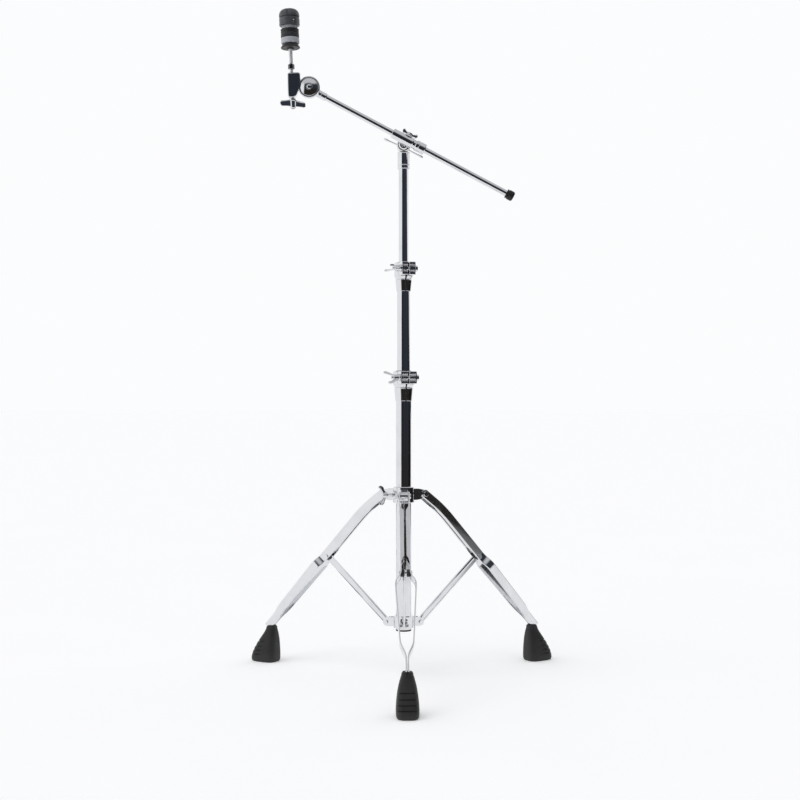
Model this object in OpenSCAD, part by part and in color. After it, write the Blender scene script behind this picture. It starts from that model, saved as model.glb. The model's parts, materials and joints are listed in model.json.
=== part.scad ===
// Cymbal boom stand: double-braced tripod, telescoping tubes, tilting boom
// and a cymbal seat with quick-release topper.
// Origin on the floor at the tube axis, +Z up, front leg along -Y, cymbal end towards -X.

/* [Tubes] */
// Outer diameter of the base tube
base_tube_d = 30; // [29:0.5:31]
// Outer diameter of the middle tube
mid_tube_d = 25.4; // [25:0.1:25.8]
// Outer diameter of the top tube
top_tube_d = 19.1; // [18.6:0.1:19.6]
// Height of the base tube's lower end above the floor
base_tube_bottom = 92; // [88:1:94]
// Height of the lower tube joint's sleeve
base_joint_z = 532; // [520:1:545]
// Height of the upper tube joint's sleeve
mid_joint_z = 743.5; // [735:0.5:755]
// Height of the boom tilter's sleeve
tilter_z = 979.5; // [972:0.5:988]

/* [Tripod] */
// Distance of each leg's top pivot from the tube axis
leg_pivot_r = 44; // [43:0.5:46]
// Height of the leg pivots
leg_pivot_z = 351.5; // [348:0.5:355]
// Distance of the brace rivets from the tube axis
rivet_r = 170.5; // [168:0.5:173]
// Height of the brace rivets
rivet_z = 222.5; // [220:0.5:225]
// Distance of each brace's lower pivot from the tube axis
brace_pivot_r = 35; // [34:0.5:36]
// Height of the braces' lower pivots
brace_pivot_z = 103.5; // [102:0.5:105]
// Width of a leg strip
strip_w = 17.5; // [15:0.5:19]
// Thickness of a leg strip
strip_t = 2.4; // [2:0.1:2.6]
// Width of a brace bar
brace_w = 12.5; // [11:0.5:13]

/* [Feet] */
// Height of a rubber foot
foot_h = 74; // [70:1:78]
// Width of a rubber foot across the leg
foot_w = 40; // [38:1:42]
// Distance of a foot's inner edge from the tube axis
foot_in_r = 294; // [292:1:296]
// Distance of a foot's outer edge from the tube axis
foot_out_r = 351; // [346:1:354]

/* [Boom] */
// Slope of the boom below level, towards +X
boom_slope = 27.8; // [20:0.1:35]
// Diameter of the boom rod
boom_d = 12; // [11:0.5:12.5]
// Rod length from the tube axis to the cymbal end
boom_left = 184; // [175:1:190]
// Rod length from the tube axis to the rubber cap
boom_right = 238; // [225:1:250]

/* [Cymbal seat] */
// Lean of the cymbal post from upright, towards -X
post_lean = 2.4; // [0:0.1:5]
// Diameter of the cymbal post
post_d = 8; // [7.5:0.1:8]
// Diameter of the felts
felt_d = 35.5; // [33:0.5:38]
// Diameter of the topper
topper_d = 39; // [38:0.5:41]

/* [Hidden] */
$fn = 48;
gap = 0.05;                       // running clearance on a radius
eps = 0.01;
LEG_ANGLES = [-90, 30, 150];
base_tube_wall = 1.15;
tube_wall = 1.1;
base_overlap = 40;                // length of the base tube inside its joint
mid_overlap = 34;
base_tube_top = base_joint_z + base_overlap;
mid_tube_bottom = base_joint_z - 235;
mid_tube_top = mid_joint_z + mid_overlap;
top_tube_bottom = mid_joint_z - 247;
top_tube_top = tilter_z + 16;

// Shapes of the two tube joints: sleeve, neck and clamp block
sleeve_wall = 1.2;
sleeve_taper = 2.4;
neck_h = 6;
ring_wall = 5.6;                  // the clamp ring's radius over the lower tube's radius
base_sleeve_h = 26;
mid_sleeve_h = 22.5;
base_block_h = 25.5;
mid_block_h = 26.5;
clamp_bolt_r = 3;
bush_below = 38;                  // length of a bushing inside the lower tube
lug_turn = 15;                    // the lugs point this far round from the front
lug_reach = 37;
lug_bolt_y = 29;
lug_slit = 2.4;
lug_root = 3;                     // the lugs start this far in front of the tube's axis
lug_step = 0.8;                   // height step between the ring and the lugs

// Collars of the tripod
collar_bottom = leg_pivot_z - 15.5;
collar_h = 31;
collar_r = 20.5;
leg_lug_half = 7.8;
pin_r = 3;
lug_nose_r = 8.5;
lug_start = 15;
wing_bolt_angle = 210;            // the leg collar's wing bolt points this way
wing_bolt_r = 3.5;
brace_collar_bottom = brace_pivot_z - 8;
brace_collar_h = 22;
brace_collar_r = 19.5;
brace_pin_r = 2.5;
brace_plate_t = 2.6;              // fork plates beside each brace
brace_plate_in = 2.4;             // space between the brace and a fork plate
set_screw_z = brace_pivot_z + 4;
brace_t = 4;
brace_gap = 0.3;
spacer_t = 5.2;
fork_y = leg_lug_half + 0.3 + strip_t / 2;            // strip centre beside the collar lug
straight_y = brace_t / 2 + brace_gap + spacer_t + strip_t / 2 + eps;
flare_y = 19.4;
tang_y = 2.1;
leg_end = [308, 63.8];

// Boom tilter
tilter_sleeve_h = 30;
tilter_pivot_z = tilter_z + 45;
tilter_face_y = -4;               // where the fixed and the tilting disc meet
tilter_back_y = 12.8;             // back of the fixed disc, clear of the sleeve
tilter_bolt_r = 4;
boom_y = -20;
boom_z = tilter_pivot_z + 9.5;    // the rod's axis crosses the tube axis here
disc_r = 13;
holder_r = 9.6;
liner_r = 7.2;
boom_boss_x = 6;                  // place of the wing bolt's boss along the rod
boom_boss_h = 10.5;

// Cymbal tilter, in the boom's own frame
seat_disc = [-181, boom_y, 1131.4];
seat_disc_r = 20.8;
seat_bolt_r = 4;
post_base = [-212.8, boom_y, 1114];
post_bottom = -24;
post_top = 154;
felt_bottom = 100.4;
seat_cup_h = 10.4;
lower_felt_h = 11.2;
upper_felt_h = 8.4;
cup_h = 8;
washer_h = 6.6;
cap_h = 14.6;
dome_h = 17.4;
upper_felt_z = felt_bottom + lower_felt_h;
cup_z = upper_felt_z + upper_felt_h;
washer_z = cup_z + cup_h;
cap_z = washer_z + washer_h;
dome_z = cap_z + cap_h;

// ---- plane geometry helpers ----

function unit(v) = v / norm(v);
function left_of(a, b) = let (d = unit(b - a)) [-d[1], d[0]];
function normal_at(p, i) = unit(
    (i > 0 ? left_of(p[i - 1], p[i]) : [0, 0])
    + (i < len(p) - 1 ? left_of(p[i], p[i + 1]) : [0, 0]));

// Outline of a band of width w that follows the path p
function ribbon(p, w) = concat(
    [for (i = [0 : len(p) - 1]) p[i] + normal_at(p, i) * w / 2],
    [for (i = [len(p) - 1 : -1 : 0]) p[i] - normal_at(p, i) * w / 2]);

// The path p with each inner corner rounded, starting d before the corner
function rounded(p, d, steps = 5) = concat([p[0]],
    [for (i = [1 : len(p) - 2])
        let (a = p[i] + unit(p[i - 1] - p[i]) * d, c = p[i] + unit(p[i + 1] - p[i]) * d)
        for (k = [0 : steps])
            let (t = k / steps)
            a * (1 - t) * (1 - t) + p[i] * 2 * t * (1 - t) + c * t * t],
    [p[len(p) - 1]]);

module tube(r, wall, z0, z1) {
    translate([0, 0, z0])
        difference() {
            cylinder(r = r, h = z1 - z0);
            translate([0, 0, -1])
                cylinder(r = r - wall, h = z1 - z0 + 2);
        }
}

// Cylinder along Y between two planes
module y_rod(r, y0, y1) {
    translate([0, y1, 0])
        rotate([90, 0, 0])
            cylinder(r = r, h = y1 - y0);
}

// Places its child, drawn in the plane of a leg along +X, at leg i
module at_leg(i) {
    rotate([0, 0, LEG_ANGLES[i]])
        children();
}

// A nut with two ears: hub up from z = 0, ears in the XZ plane swept up by `sweep`
module wing_nut(hub_r, hub_h, span, sweep, bore_r, tip_r = 6) {
    blade_t = 3.4;
    difference() {
        union() {
            cylinder(r1 = hub_r, r2 = hub_r * 0.82, h = hub_h);
            for (side = [-1, 1])
                hull() {
                    translate([side * hub_r * 0.6, blade_t / 2, hub_h * 0.5])
                        rotate([90, 0, 0])
                            cylinder(r = hub_h * 0.36, h = blade_t, $fn = 32);
                    translate([side * (span / 2 - tip_r), blade_t / 2, hub_h * 0.5 + sweep])
                        rotate([90, 0, 0])
                            cylinder(r = tip_r, h = blade_t, $fn = 32);
                }
        }
        translate([0, 0, -1])
            cylinder(r = bore_r, h = hub_h + sweep + 20);
    }
}

// ---- tubes ----

module base_tube() {
    color("silver")
        tube(base_tube_d / 2, base_tube_wall, base_tube_bottom, base_tube_top);
}

module base_tube_plug() {
    color("black")
        union() {
            translate([0, 0, base_tube_bottom - 3])
                cylinder(r = base_tube_d / 2, h = 3);
            translate([0, 0, base_tube_bottom - 1])
                cylinder(r = base_tube_d / 2 - base_tube_wall - gap, h = 12);
        }
}

module mid_tube() {
    color("silver")
        tube(mid_tube_d / 2, tube_wall, mid_tube_bottom, mid_tube_top);
}

module top_tube() {
    color("silver")
        tube(top_tube_d / 2, tube_wall, top_tube_bottom, top_tube_top);
}

// ---- tube joints ----

// Cast joint: tapered sleeve on the lower tube, neck, and a split clamp block with two lugs
module clamp_casting(low_r, low_top, bush_r, sleeve_h, block_h) {
    block_z = sleeve_h + neck_h;
    sleeve_r = low_r + sleeve_wall;
    ring_r = low_r + ring_wall;
    bolt_z = block_z + block_h / 2;
    lug_w = 2 * (low_r + 1);
    groove_r = 2.6;
    groove_in = 3;
    difference() {
        union() {
            cylinder(r1 = sleeve_r, r2 = sleeve_r + sleeve_taper, h = sleeve_h);
            // neck that flares out to the clamp ring
            translate([0, 0, sleeve_h - 1])
                cylinder(r1 = sleeve_r + sleeve_taper / 2, r2 = ring_r, h = neck_h + 1);
            translate([0, 0, block_z])
                cylinder(r = ring_r, h = block_h);
            rotate([0, 0, lug_turn])
                translate([-lug_w / 2, -lug_reach, block_z + lug_step])
                    cube([lug_w, lug_reach - lug_root, block_h - 2 * lug_step]);
        }
        translate([0, 0, -1])
            cylinder(r = low_r + gap, h = low_top + 1);
        cylinder(r = bush_r, h = block_z + block_h + 1);
        rotate([0, 0, lug_turn]) {
            translate([-lug_slit / 2, -lug_reach - 1, -1])
                cube([lug_slit, lug_reach + 1, block_z + block_h + 2]);
            translate([-lug_w, -lug_bolt_y, bolt_z])
                rotate([0, 90, 0])
                    cylinder(r = clamp_bolt_r + gap, h = 2 * lug_w);
            // finger grooves across the lug faces
            for (side = [-1, 1])
                translate([groove_in - lug_w / 2, -lug_reach, bolt_z + side * block_h / 5])
                    rotate([0, 90, 0])
                        cylinder(r = groove_r, h = lug_w - 2 * groove_in);
        }
    }
}

// Split nylon bushing: a thin sleeve inside the lower tube with a flange on the tube's end
module bushing(in_r, out_r, flange_r, below, above) {
    difference() {
        union() {
            translate([0, 0, -below])
                cylinder(r = out_r, h = below + above);
            cylinder(r = flange_r, h = above);
        }
        translate([0, 0, -below - 1])
            cylinder(r = in_r, h = below + above + 2);
        translate([-0.6, -flange_r - 1, -below - 1])
            cube([1.2, flange_r + 1, below + above + 2]);
    }
}

// Bolt across the lugs, head on the right and thread out to the wing nut on the left
module clamp_bolt(low_r, block_mid_z) {
    lug_half = low_r + 1;
    rotate([0, 0, lug_turn])
        translate([0, -lug_bolt_y, block_mid_z])
            rotate([0, -90, 0])
                union() {
                    translate([0, 0, -lug_half - 5])
                        cylinder(r = 6, h = 5, $fn = 6);
                    translate([0, 0, -lug_half - 1])
                        cylinder(r = clamp_bolt_r, h = 2 * lug_half + 18);
                }
}

module clamp_wing_nut(low_r, block_mid_z, turn) {
    rotate([0, 0, lug_turn])
        translate([-low_r - 1 - 0.2, -lug_bolt_y, block_mid_z])
            rotate([0, -90, 0])
                rotate([0, 0, turn])
                    wing_nut(6.6, 13, 46, 17, clamp_bolt_r + gap);
}

module base_joint() {
    color("silver")
        translate([0, 0, base_joint_z])
            clamp_casting(base_tube_d / 2, base_overlap, mid_tube_d / 2 + 1.9,
                          base_sleeve_h, base_block_h);
}

module base_bushing() {
    color("black")
        translate([0, 0, base_tube_top + gap])
            bushing(mid_tube_d / 2 + gap, base_tube_d / 2 - base_tube_wall - gap,
                    mid_tube_d / 2 + 1.85, bush_below,
                    base_sleeve_h + neck_h + base_block_h - base_overlap + 1);
}

module base_clamp_bolt() {
    color("silver")
        clamp_bolt(base_tube_d / 2, base_joint_z + base_sleeve_h + neck_h + base_block_h / 2);
}

module base_wing_nut() {
    color("silver")
        clamp_wing_nut(base_tube_d / 2,
                       base_joint_z + base_sleeve_h + neck_h + base_block_h / 2, 65);
}

module mid_joint() {
    color("silver")
        translate([0, 0, mid_joint_z])
            clamp_casting(mid_tube_d / 2, mid_overlap, top_tube_d / 2 + 2.6,
                          mid_sleeve_h, mid_block_h);
}

module mid_bushing() {
    color("black")
        translate([0, 0, mid_tube_top + gap])
            bushing(top_tube_d / 2 + gap, mid_tube_d / 2 - tube_wall - gap,
                    top_tube_d / 2 + 2.55, bush_below,
                    mid_sleeve_h + neck_h + mid_block_h - mid_overlap + 1);
}

module mid_clamp_bolt() {
    color("silver")
        clamp_bolt(mid_tube_d / 2, mid_joint_z + mid_sleeve_h + neck_h + mid_block_h / 2);
}

module mid_wing_nut() {
    color("silver")
        clamp_wing_nut(mid_tube_d / 2,
                       mid_joint_z + mid_sleeve_h + neck_h + mid_block_h / 2, 95);
}

// ---- collars ----

module leg_collar() {
    color("silver")
        difference() {
            union() {
                translate([0, 0, collar_bottom])
                    cylinder(r = collar_r, h = collar_h);
                for (i = [0 : 2])
                    at_leg(i) {
                        translate([lug_start, -leg_lug_half, collar_bottom + 4])
                            cube([leg_pivot_r - lug_start, 2 * leg_lug_half, collar_h - 8]);
                        translate([leg_pivot_r, 0, leg_pivot_z])
                            y_rod(lug_nose_r, -leg_lug_half, leg_lug_half);
                    }
                translate([0, 0, leg_pivot_z])
                    rotate([90, 0, wing_bolt_angle + 90])
                        cylinder(r = lug_nose_r, h = collar_r + 5);
            }
            translate([0, 0, collar_bottom - 1])
                cylinder(r = base_tube_d / 2 + gap, h = collar_h + 2);
            for (i = [0 : 2])
                at_leg(i)
                    translate([leg_pivot_r, 0, leg_pivot_z]) {
                        y_rod(pin_r, -20, 20);
                        // the lug's underside and top are cut back to a round nose
                        for (side = [-1, 1])
                            translate([0, -20, side > 0 ? lug_nose_r : -lug_nose_r - 20])
                                cube([20, 40, 20]);
                    }
            translate([0, 0, leg_pivot_z])
                rotate([90, 0, wing_bolt_angle + 90])
                    cylinder(r = wing_bolt_r + gap, h = 40);
        }
}

module leg_collar_wing_bolt() {
    color("silver")
        rotate([0, 0, wing_bolt_angle])
            translate([0, 0, leg_pivot_z])
                rotate([0, 90, 0])
                    union() {
                        translate([0, 0, base_tube_d / 2 + 0.3])
                            cylinder(r = wing_bolt_r, h = 26);
                        translate([0, 0, 38])
                            wing_nut(6, 10, 38, 8, 1.5);
                    }
}

module leg_pivot_pins() {
    color("silver")
        for (i = [0 : 2])
            at_leg(i)
                translate([leg_pivot_r, 0, leg_pivot_z])
                    union() {
                        y_rod(pin_r, -fork_y - strip_t / 2 - 2, fork_y + strip_t / 2 + 2);
                        y_rod(5, fork_y + strip_t / 2 + 0.15, fork_y + strip_t / 2 + 2.3);
                        y_rod(5, -fork_y - strip_t / 2 - 2.3, -fork_y - strip_t / 2 - 0.15);
                    }
}

module brace_collar() {
    plate_in = brace_t / 2 + brace_plate_in;
    color("silver")
        difference() {
            union() {
                translate([0, 0, brace_collar_bottom])
                    cylinder(r = brace_collar_r, h = brace_collar_h);
                for (i = [0 : 2])
                    at_leg(i)
                        for (side = [-1, 1])
                            translate([0, side * (plate_in + brace_plate_t / 2), 0]) {
                                translate([14, -brace_plate_t / 2, brace_pivot_z - 7])
                                    cube([brace_pivot_r - 14, brace_plate_t, 17]);
                                translate([brace_pivot_r, 0, brace_pivot_z])
                                    y_rod(7, -brace_plate_t / 2, brace_plate_t / 2);
                            }
            }
            translate([0, 0, brace_collar_bottom - 1])
                cylinder(r = base_tube_d / 2 + gap, h = brace_collar_h + 2);
            for (i = [0 : 2])
                at_leg(i) {
                    translate([brace_pivot_r, 0, brace_pivot_z])
                        y_rod(brace_pin_r, -20, 20);
                    // pocket that the end of the brace swings in
                    translate([brace_pivot_r, 0, brace_pivot_z])
                        y_rod(brace_w / 2 + 9, -plate_in, plate_in);
                }
            translate([0, 0, set_screw_z])
                rotate([90, 0, 180])
                    cylinder(r = 2.5, h = 30);
            translate([0, 0, brace_collar_bottom - 1])
                cylinder(r = base_tube_d / 2 + gap, h = brace_collar_h + 2);
        }
}

module brace_collar_screw() {
    color("dimgray")
        translate([0, 0, set_screw_z])
            rotate([90, 0, 180])
                translate([0, 0, base_tube_d / 2 + 0.1])
                    difference() {
                        union() {
                            cylinder(r = 2.45, h = 6);
                            translate([0, 0, 5])
                                cylinder(r = 4.2, h = 3.4);
                        }
                        translate([0, 0, 6])
                            cylinder(r = 2, h = 3, $fn = 6);
                    }
}

module brace_pivot_pins() {
    plate_out = brace_t / 2 + brace_plate_in + brace_plate_t;
    color("silver")
        for (i = [0 : 2])
            at_leg(i)
                translate([brace_pivot_r, 0, brace_pivot_z])
                    union() {
                        y_rod(brace_pin_r, -plate_out - 1, plate_out + 1);
                        y_rod(4.2, plate_out, plate_out + 2);
                        y_rod(4.2, -plate_out - 2, -plate_out);
                    }
}

// ---- legs, drawn in the plane y = 0 along +X ----

leg_line = rounded([[leg_pivot_r, leg_pivot_z], [86, 319.7], leg_end], 22);

// Line of one strip seen from above: fork, straight, flare, taper, tang
strip_line = rounded([
    [leg_pivot_r - 12, fork_y], [leg_pivot_r + 14, fork_y], [leg_pivot_r + 40, straight_y],
    [rivet_r + 10, straight_y], [rivet_r + 24, flare_y], [279, 11.8],
    [294, tang_y], [leg_end[0] + 8, tang_y]], 4);

module leg_side(w) {
    rotate([90, 0, 0])
        linear_extrude(height = 80, center = true)
            union() {
                polygon(ribbon(leg_line, w));
                translate([leg_pivot_r, leg_pivot_z])
                    circle(r = w / 2);
            }
}

module strip_plan(line, t) {
    linear_extrude(height = 420)
        polygon(ribbon(line, t));
}

// One strip: flat web all the way, with inward flanges on the upper stretch
module leg_strip() {
    flange = 5.2;
    flange_line = [for (x = [leg_pivot_r + 42, rivet_r - 16]) [x, straight_y - flange / 2]];
    difference() {
        union() {
            intersection() {
                leg_side(strip_w);
                strip_plan(strip_line, strip_t);
            }
            difference() {
                intersection() {
                    leg_side(strip_w);
                    strip_plan(flange_line, flange + strip_t);
                }
                leg_side(strip_w - 4.4);
            }
        }
        translate([leg_pivot_r, 0, leg_pivot_z])
            y_rod(pin_r + gap, -40, 40);
        translate([rivet_r, 0, rivet_z])
            y_rod(3, -40, 40);
    }
}

module leg_pair(i) {
    color("silver")
        at_leg(i)
            for (side = [0, 1])
                mirror([0, side, 0])
                    leg_strip();
}

module front_leg() { leg_pair(0); }
module right_leg() { leg_pair(1); }
module left_leg() { leg_pair(2); }

// Rivet of the upper brace pivot: one headed stub in each strip and its spacer
module leg_rivet(i) {
    outer = straight_y + strip_t / 2;
    color("silver")
        at_leg(i)
            translate([rivet_r, 0, rivet_z])
                for (side = [0, 1])
                    mirror([0, side, 0])
                        union() {
                            y_rod(3, brace_t / 2 + brace_gap, outer + 1);
                            y_rod(5, outer, outer + 2);
                        }
}

module front_leg_rivet() { leg_rivet(0); }
module right_leg_rivet() { leg_rivet(1); }
module left_leg_rivet() { leg_rivet(2); }

module leg_spacers(i) {
    color("black")
        at_leg(i)
            translate([rivet_r, 0, rivet_z])
                for (side = [0, 1])
                    mirror([0, side, 0])
                        difference() {
                            y_rod(6.8, brace_t / 2 + brace_gap, straight_y - strip_t / 2);
                            y_rod(3, 0, 20);
                        }
}

module front_leg_spacers() { leg_spacers(0); }
module right_leg_spacers() { leg_spacers(1); }
module left_leg_spacers() { leg_spacers(2); }

module brace(i) {
    foot = [brace_pivot_r, brace_pivot_z];
    head = [rivet_r, rivet_z];
    color("silver")
        at_leg(i)
            rotate([90, 0, 0])
                translate([0, 0, -brace_t / 2])
                    linear_extrude(height = brace_t)
                        difference() {
                            union() {
                                polygon(ribbon([foot, head], brace_w));
                                translate(foot)
                                    circle(r = brace_w / 2 + 0.6);
                                translate(head)
                                    circle(r = brace_w / 2 + 0.6);
                            }
                            translate(foot)
                                circle(r = brace_pin_r + gap);
                            translate(head)
                                circle(r = 3.2);
                        }
}

module front_brace() { brace(0); }
module right_brace() { brace(1); }
module left_brace() { brace(2); }

// ---- feet ----

module foot(i) {
    sole_mid = (foot_in_r + foot_out_r) / 2;
    top_mid = [foot_in_r + 12, foot_h];
    pocket_half = tang_y + strip_t / 2 + 0.1;
    color([0.13, 0.13, 0.14])
        at_leg(i)
            difference() {
                hull() {
                    for (x = [foot_in_r + 10, foot_out_r - 12], y = [-1, 1])
                        translate([x, y * (foot_w / 2 - 11), 0])
                            cylinder(r1 = 8, r2 = 10.5, h = 5, $fn = 32);
                    for (x = [foot_in_r + 10, foot_out_r - 11], y = [-1, 1])
                        translate([x, y * (foot_w / 2 - 10), 9])
                            cylinder(r = 10, h = 8, $fn = 32);
                    for (x = [foot_in_r + 9, sole_mid + 3], y = [-1, 1])
                        translate([x, y * (foot_w / 2 - 9), 38])
                            cylinder(r = 7, h = 5, $fn = 32);
                    for (x = [foot_in_r + 9, top_mid[0] + 5], y = [-1, 1])
                        translate([x, y * 4, foot_h - 6])
                            cylinder(r1 = 6.5, r2 = 5, h = 6, $fn = 32);
                }
                // tread grooves round the outer face
                for (k = [0 : 3])
                    translate([sole_mid + 4, -foot_w / 2 - 1, 14 + k * 8.5])
                        difference() {
                            cube([40, foot_w + 2, 1.8]);
                            translate([-1, 3, -1])
                                cube([foot_out_r - sole_mid - 8 - k * 5, foot_w - 4, 4]);
                        }
                // pocket for the ends of the strips
                intersection() {
                    leg_side(strip_w + 0.3);
                    translate([foot_in_r - 20, -pocket_half, 0])
                        cube([60, 2 * pocket_half, foot_h + 30]);
                }
            }
}

module front_foot() { foot(0); }
module right_foot() { foot(1); }
module left_foot() { foot(2); }

// ---- boom tilter ----

module tilter_base() {
    flange_r = 12.6;
    flange_t = 1.6;
    neck_half = 9;
    neck_back_y = 6;
    color("silver")
        difference() {
            union() {
                translate([0, 0, tilter_z])
                    cylinder(r1 = 12.1, r2 = 11.8, h = tilter_sleeve_h);
                translate([0, 0, tilter_z + tilter_sleeve_h])
                    cylinder(r = flange_r, h = flange_t);
                translate([0, 0, tilter_pivot_z])
                    y_rod(disc_r, tilter_face_y, tilter_back_y);
                // neck between the sleeve and the disc
                translate([-neck_half, tilter_face_y, tilter_z + tilter_sleeve_h - 6])
                    cube([2 * neck_half, neck_back_y - tilter_face_y, 18]);
            }
            translate([0, 0, tilter_z - 1])
                cylinder(r = top_tube_d / 2 + 0.02, h = top_tube_top - tilter_z + 1);
            translate([0, 0, tilter_pivot_z])
                y_rod(tilter_bolt_r + gap, -30, 30);
        }
}

// Frame of the boom: +X down along the rod, +Z square to it, y = 0 on the rod's axis
module in_boom() {
    translate([0, boom_y, boom_z])
        rotate([0, boom_slope, 0])
            children();
}

module boom_tube(r, x0, x1) {
    translate([x0, 0, 0])
        rotate([0, 90, 0])
            cylinder(r = r, h = x1 - x0);
}

module boom_holder() {
    color("silver")
        difference() {
            union() {
                in_boom() {
                    boom_tube(holder_r, -24, 20);
                    boom_tube(holder_r - 1, 19, 27);
                    boom_tube(holder_r + 1, 26, 46);
                    translate([boom_boss_x, 0, 0])
                        cylinder(r = 7.5, h = boom_boss_h);
                }
                translate([0, 0, tilter_pivot_z])
                    y_rod(disc_r, -15, tilter_face_y - 0.1);
            }
            in_boom() {
                boom_tube(liner_r + gap, -60, 80);
                translate([boom_boss_x, 0, 4])
                    cylinder(r = wing_bolt_r + gap, h = 20);
            }
            translate([0, 0, tilter_pivot_z])
                y_rod(tilter_bolt_r, -12, 5);
        }
}

module boom_liner() {
    color("black")
        in_boom()
            difference() {
                boom_tube(liner_r, -23, 45);
                boom_tube(boom_d / 2 + gap, -30, 60);
            }
}

module boom_wing_bolt() {
    color("silver")
        in_boom()
            translate([boom_boss_x, 0, 0])
                union() {
                    translate([0, 0, liner_r + 0.3])
                        cylinder(r = wing_bolt_r, h = 5.5);
                    translate([0, 0, boom_boss_h + 0.2])
                        wing_nut(6.5, 5.5, 32, 1.5, 0.8, 4.5);
                }
}

module tilter_bolt() {
    color("silver")
        translate([0, 0, tilter_pivot_z])
            y_rod(tilter_bolt_r - 0.02, -11.9, tilter_back_y + 16);
}

module tilter_wing_nut() {
    color("silver")
        translate([0, tilter_back_y + 0.2, tilter_pivot_z])
            rotate([-90, 0, 0])
                rotate([0, 0, boom_slope])
                    wing_nut(8, 13, 84, 4, tilter_bolt_r + gap);
}

// ---- boom rod and the ratchet on its end ----

module boom_rod() {
    color("silver")
        in_boom()
            boom_tube(boom_d / 2, -boom_left, boom_right - 14);
}

module boom_end_cap() {
    color("black")
        in_boom()
            difference() {
                union() {
                    boom_tube(9.5, boom_right - 16, boom_right - 1);
                    boom_tube(8.5, boom_right - 16, boom_right);
                }
                boom_tube(boom_d / 2, boom_right - 20, boom_right - 14);
            }
}

module boom_ferrule() {
    color("silver")
        in_boom()
            difference() {
                boom_tube(7.3, -boom_left + 1, -boom_left + 17);
                boom_tube(boom_d / 2, -boom_left - 5, -boom_left + 30);
            }
}

module rod_ratchet() {
    color("silver")
        difference() {
            union() {
                translate([seat_disc[0], boom_y, seat_disc[2]])
                    y_rod(seat_disc_r - 1.2, 0.1, 9.5);
                in_boom()
                    boom_tube(7.3, -boom_left - 16, -boom_left + 1);
            }
            in_boom()
                boom_tube(boom_d / 2, -boom_left, 0);
            translate([seat_disc[0], boom_y, seat_disc[2]]) {
                y_rod(seat_disc_r + 0.4, -30, 0.1);
                y_rod(seat_bolt_r + gap, -30, 30);
            }
        }
}

// ---- cymbal seat ----

// Frame of the cymbal post: z = 0 at the foot of the arm, +Z along the post
module on_post() {
    translate(post_base)
        rotate([0, -post_lean, 0])
            children();
}

module seat_arm() {
    outline = rounded([[-213, 1117.6], [-221.5, 1117.6], [-223, 1157.5], [-199, 1159.4],
                       [-196, 1151], [-197, 1139], [-203, 1123], [-207, 1117.6],
                       [-213, 1117.6]], 2, 3);
    color("silver")
        difference() {
            union() {
                rotate([90, 0, 0])
                    translate([0, 0, -boom_y - 9])
                        linear_extrude(height = 18)
                            polygon(outline);
                translate([seat_disc[0], boom_y, seat_disc[2]]) {
                    y_rod(seat_disc_r, -9.5, 0);
                    y_rod(seat_disc_r - 3, -11, -9);
                }
            }
            // room for the rod's half of the ratchet
            translate([seat_disc[0], boom_y, seat_disc[2]]) {
                y_rod(seat_disc_r - 0.6, 0, 20);
                y_rod(seat_bolt_r, -8, 1);
                difference() {
                    y_rod(seat_disc_r - 5, -12, -9.8);
                    y_rod(8, -13, 0);
                }
            }
            on_post()
                translate([0, 0, -20])
                    cylinder(r = post_d / 2 + gap, h = 90);
        }
}

module seat_ratchet_bolt() {
    color("silver")
        translate([seat_disc[0], boom_y, seat_disc[2]])
            y_rod(seat_bolt_r - 0.02, -7.9, 20);
}

module seat_ratchet_nut() {
    color("silver")
        translate([seat_disc[0], boom_y + 9.7, seat_disc[2]])
            rotate([-90, 0, 0])
                difference() {
                    union() {
                        cylinder(r = 9, h = 1.6);
                        cylinder(r = 7.4, h = 8, $fn = 6);
                    }
                    translate([0, 0, -1])
                        cylinder(r = seat_bolt_r - 0.02, h = 12);
                }
}

module cymbal_post() {
    color("silver")
        on_post()
            translate([0, 0, post_bottom])
                cylinder(r = post_d / 2, h = post_top - post_bottom);
}

module post_lock_nut() {
    color("silver")
        on_post()
            translate([0, 0, 52.5])
                difference() {
                    cylinder(r = 6.2, h = 8.7, $fn = 6);
                    translate([0, 0, -1])
                        cylinder(r = post_d / 2, h = 11);
                }
}

module post_wing_nut() {
    color("silver")
        on_post()
            translate([0, 0, -5])
                rotate([180, 0, 25])
                    wing_nut(6.5, 18, 54, 0, post_d / 2 + gap);
}

// Turned piece on the post from a list of [radius, height] corners
module turned(corners, bore_r) {
    on_post()
        difference() {
            rotate_extrude()
                polygon(concat([[0, corners[0][1]]], corners,
                               [[0, corners[len(corners) - 1][1]]]));
            translate([0, 0, corners[0][1] - 1])
                cylinder(r = bore_r, h = corners[len(corners) - 1][1] - corners[0][1] + 2);
        }
}

module seat_cup() {
    color("black")
        turned([[7, felt_bottom - seat_cup_h], [7, felt_bottom - 8.6], [18.4, felt_bottom - 8.2],
                [18.4, felt_bottom - 6.2], [15, felt_bottom - 1.6], [15, felt_bottom]],
               post_d / 2);
}

module lower_felt() {
    color([0.6, 0.62, 0.65])
        turned([[felt_d / 2 - 1, felt_bottom], [felt_d / 2, felt_bottom + 1.5],
                [felt_d / 2, upper_felt_z - 1.5], [felt_d / 2 - 1, upper_felt_z]],
               post_d / 2 + 0.2);
}

module upper_felt() {
    color([0.16, 0.16, 0.18])
        turned([[felt_d / 2 - 0.8, upper_felt_z + gap], [felt_d / 2, upper_felt_z + 1.5],
                [felt_d / 2, cup_z - 1.5], [felt_d / 2 - 1, cup_z]],
               post_d / 2 + 0.2);
}

module felt_cup() {
    color("black")
        turned([[16.6, cup_z + gap], [17, cup_z + 1], [17.6, washer_z - 1], [17.2, washer_z]],
               post_d / 2 + 0.1);
}

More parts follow.
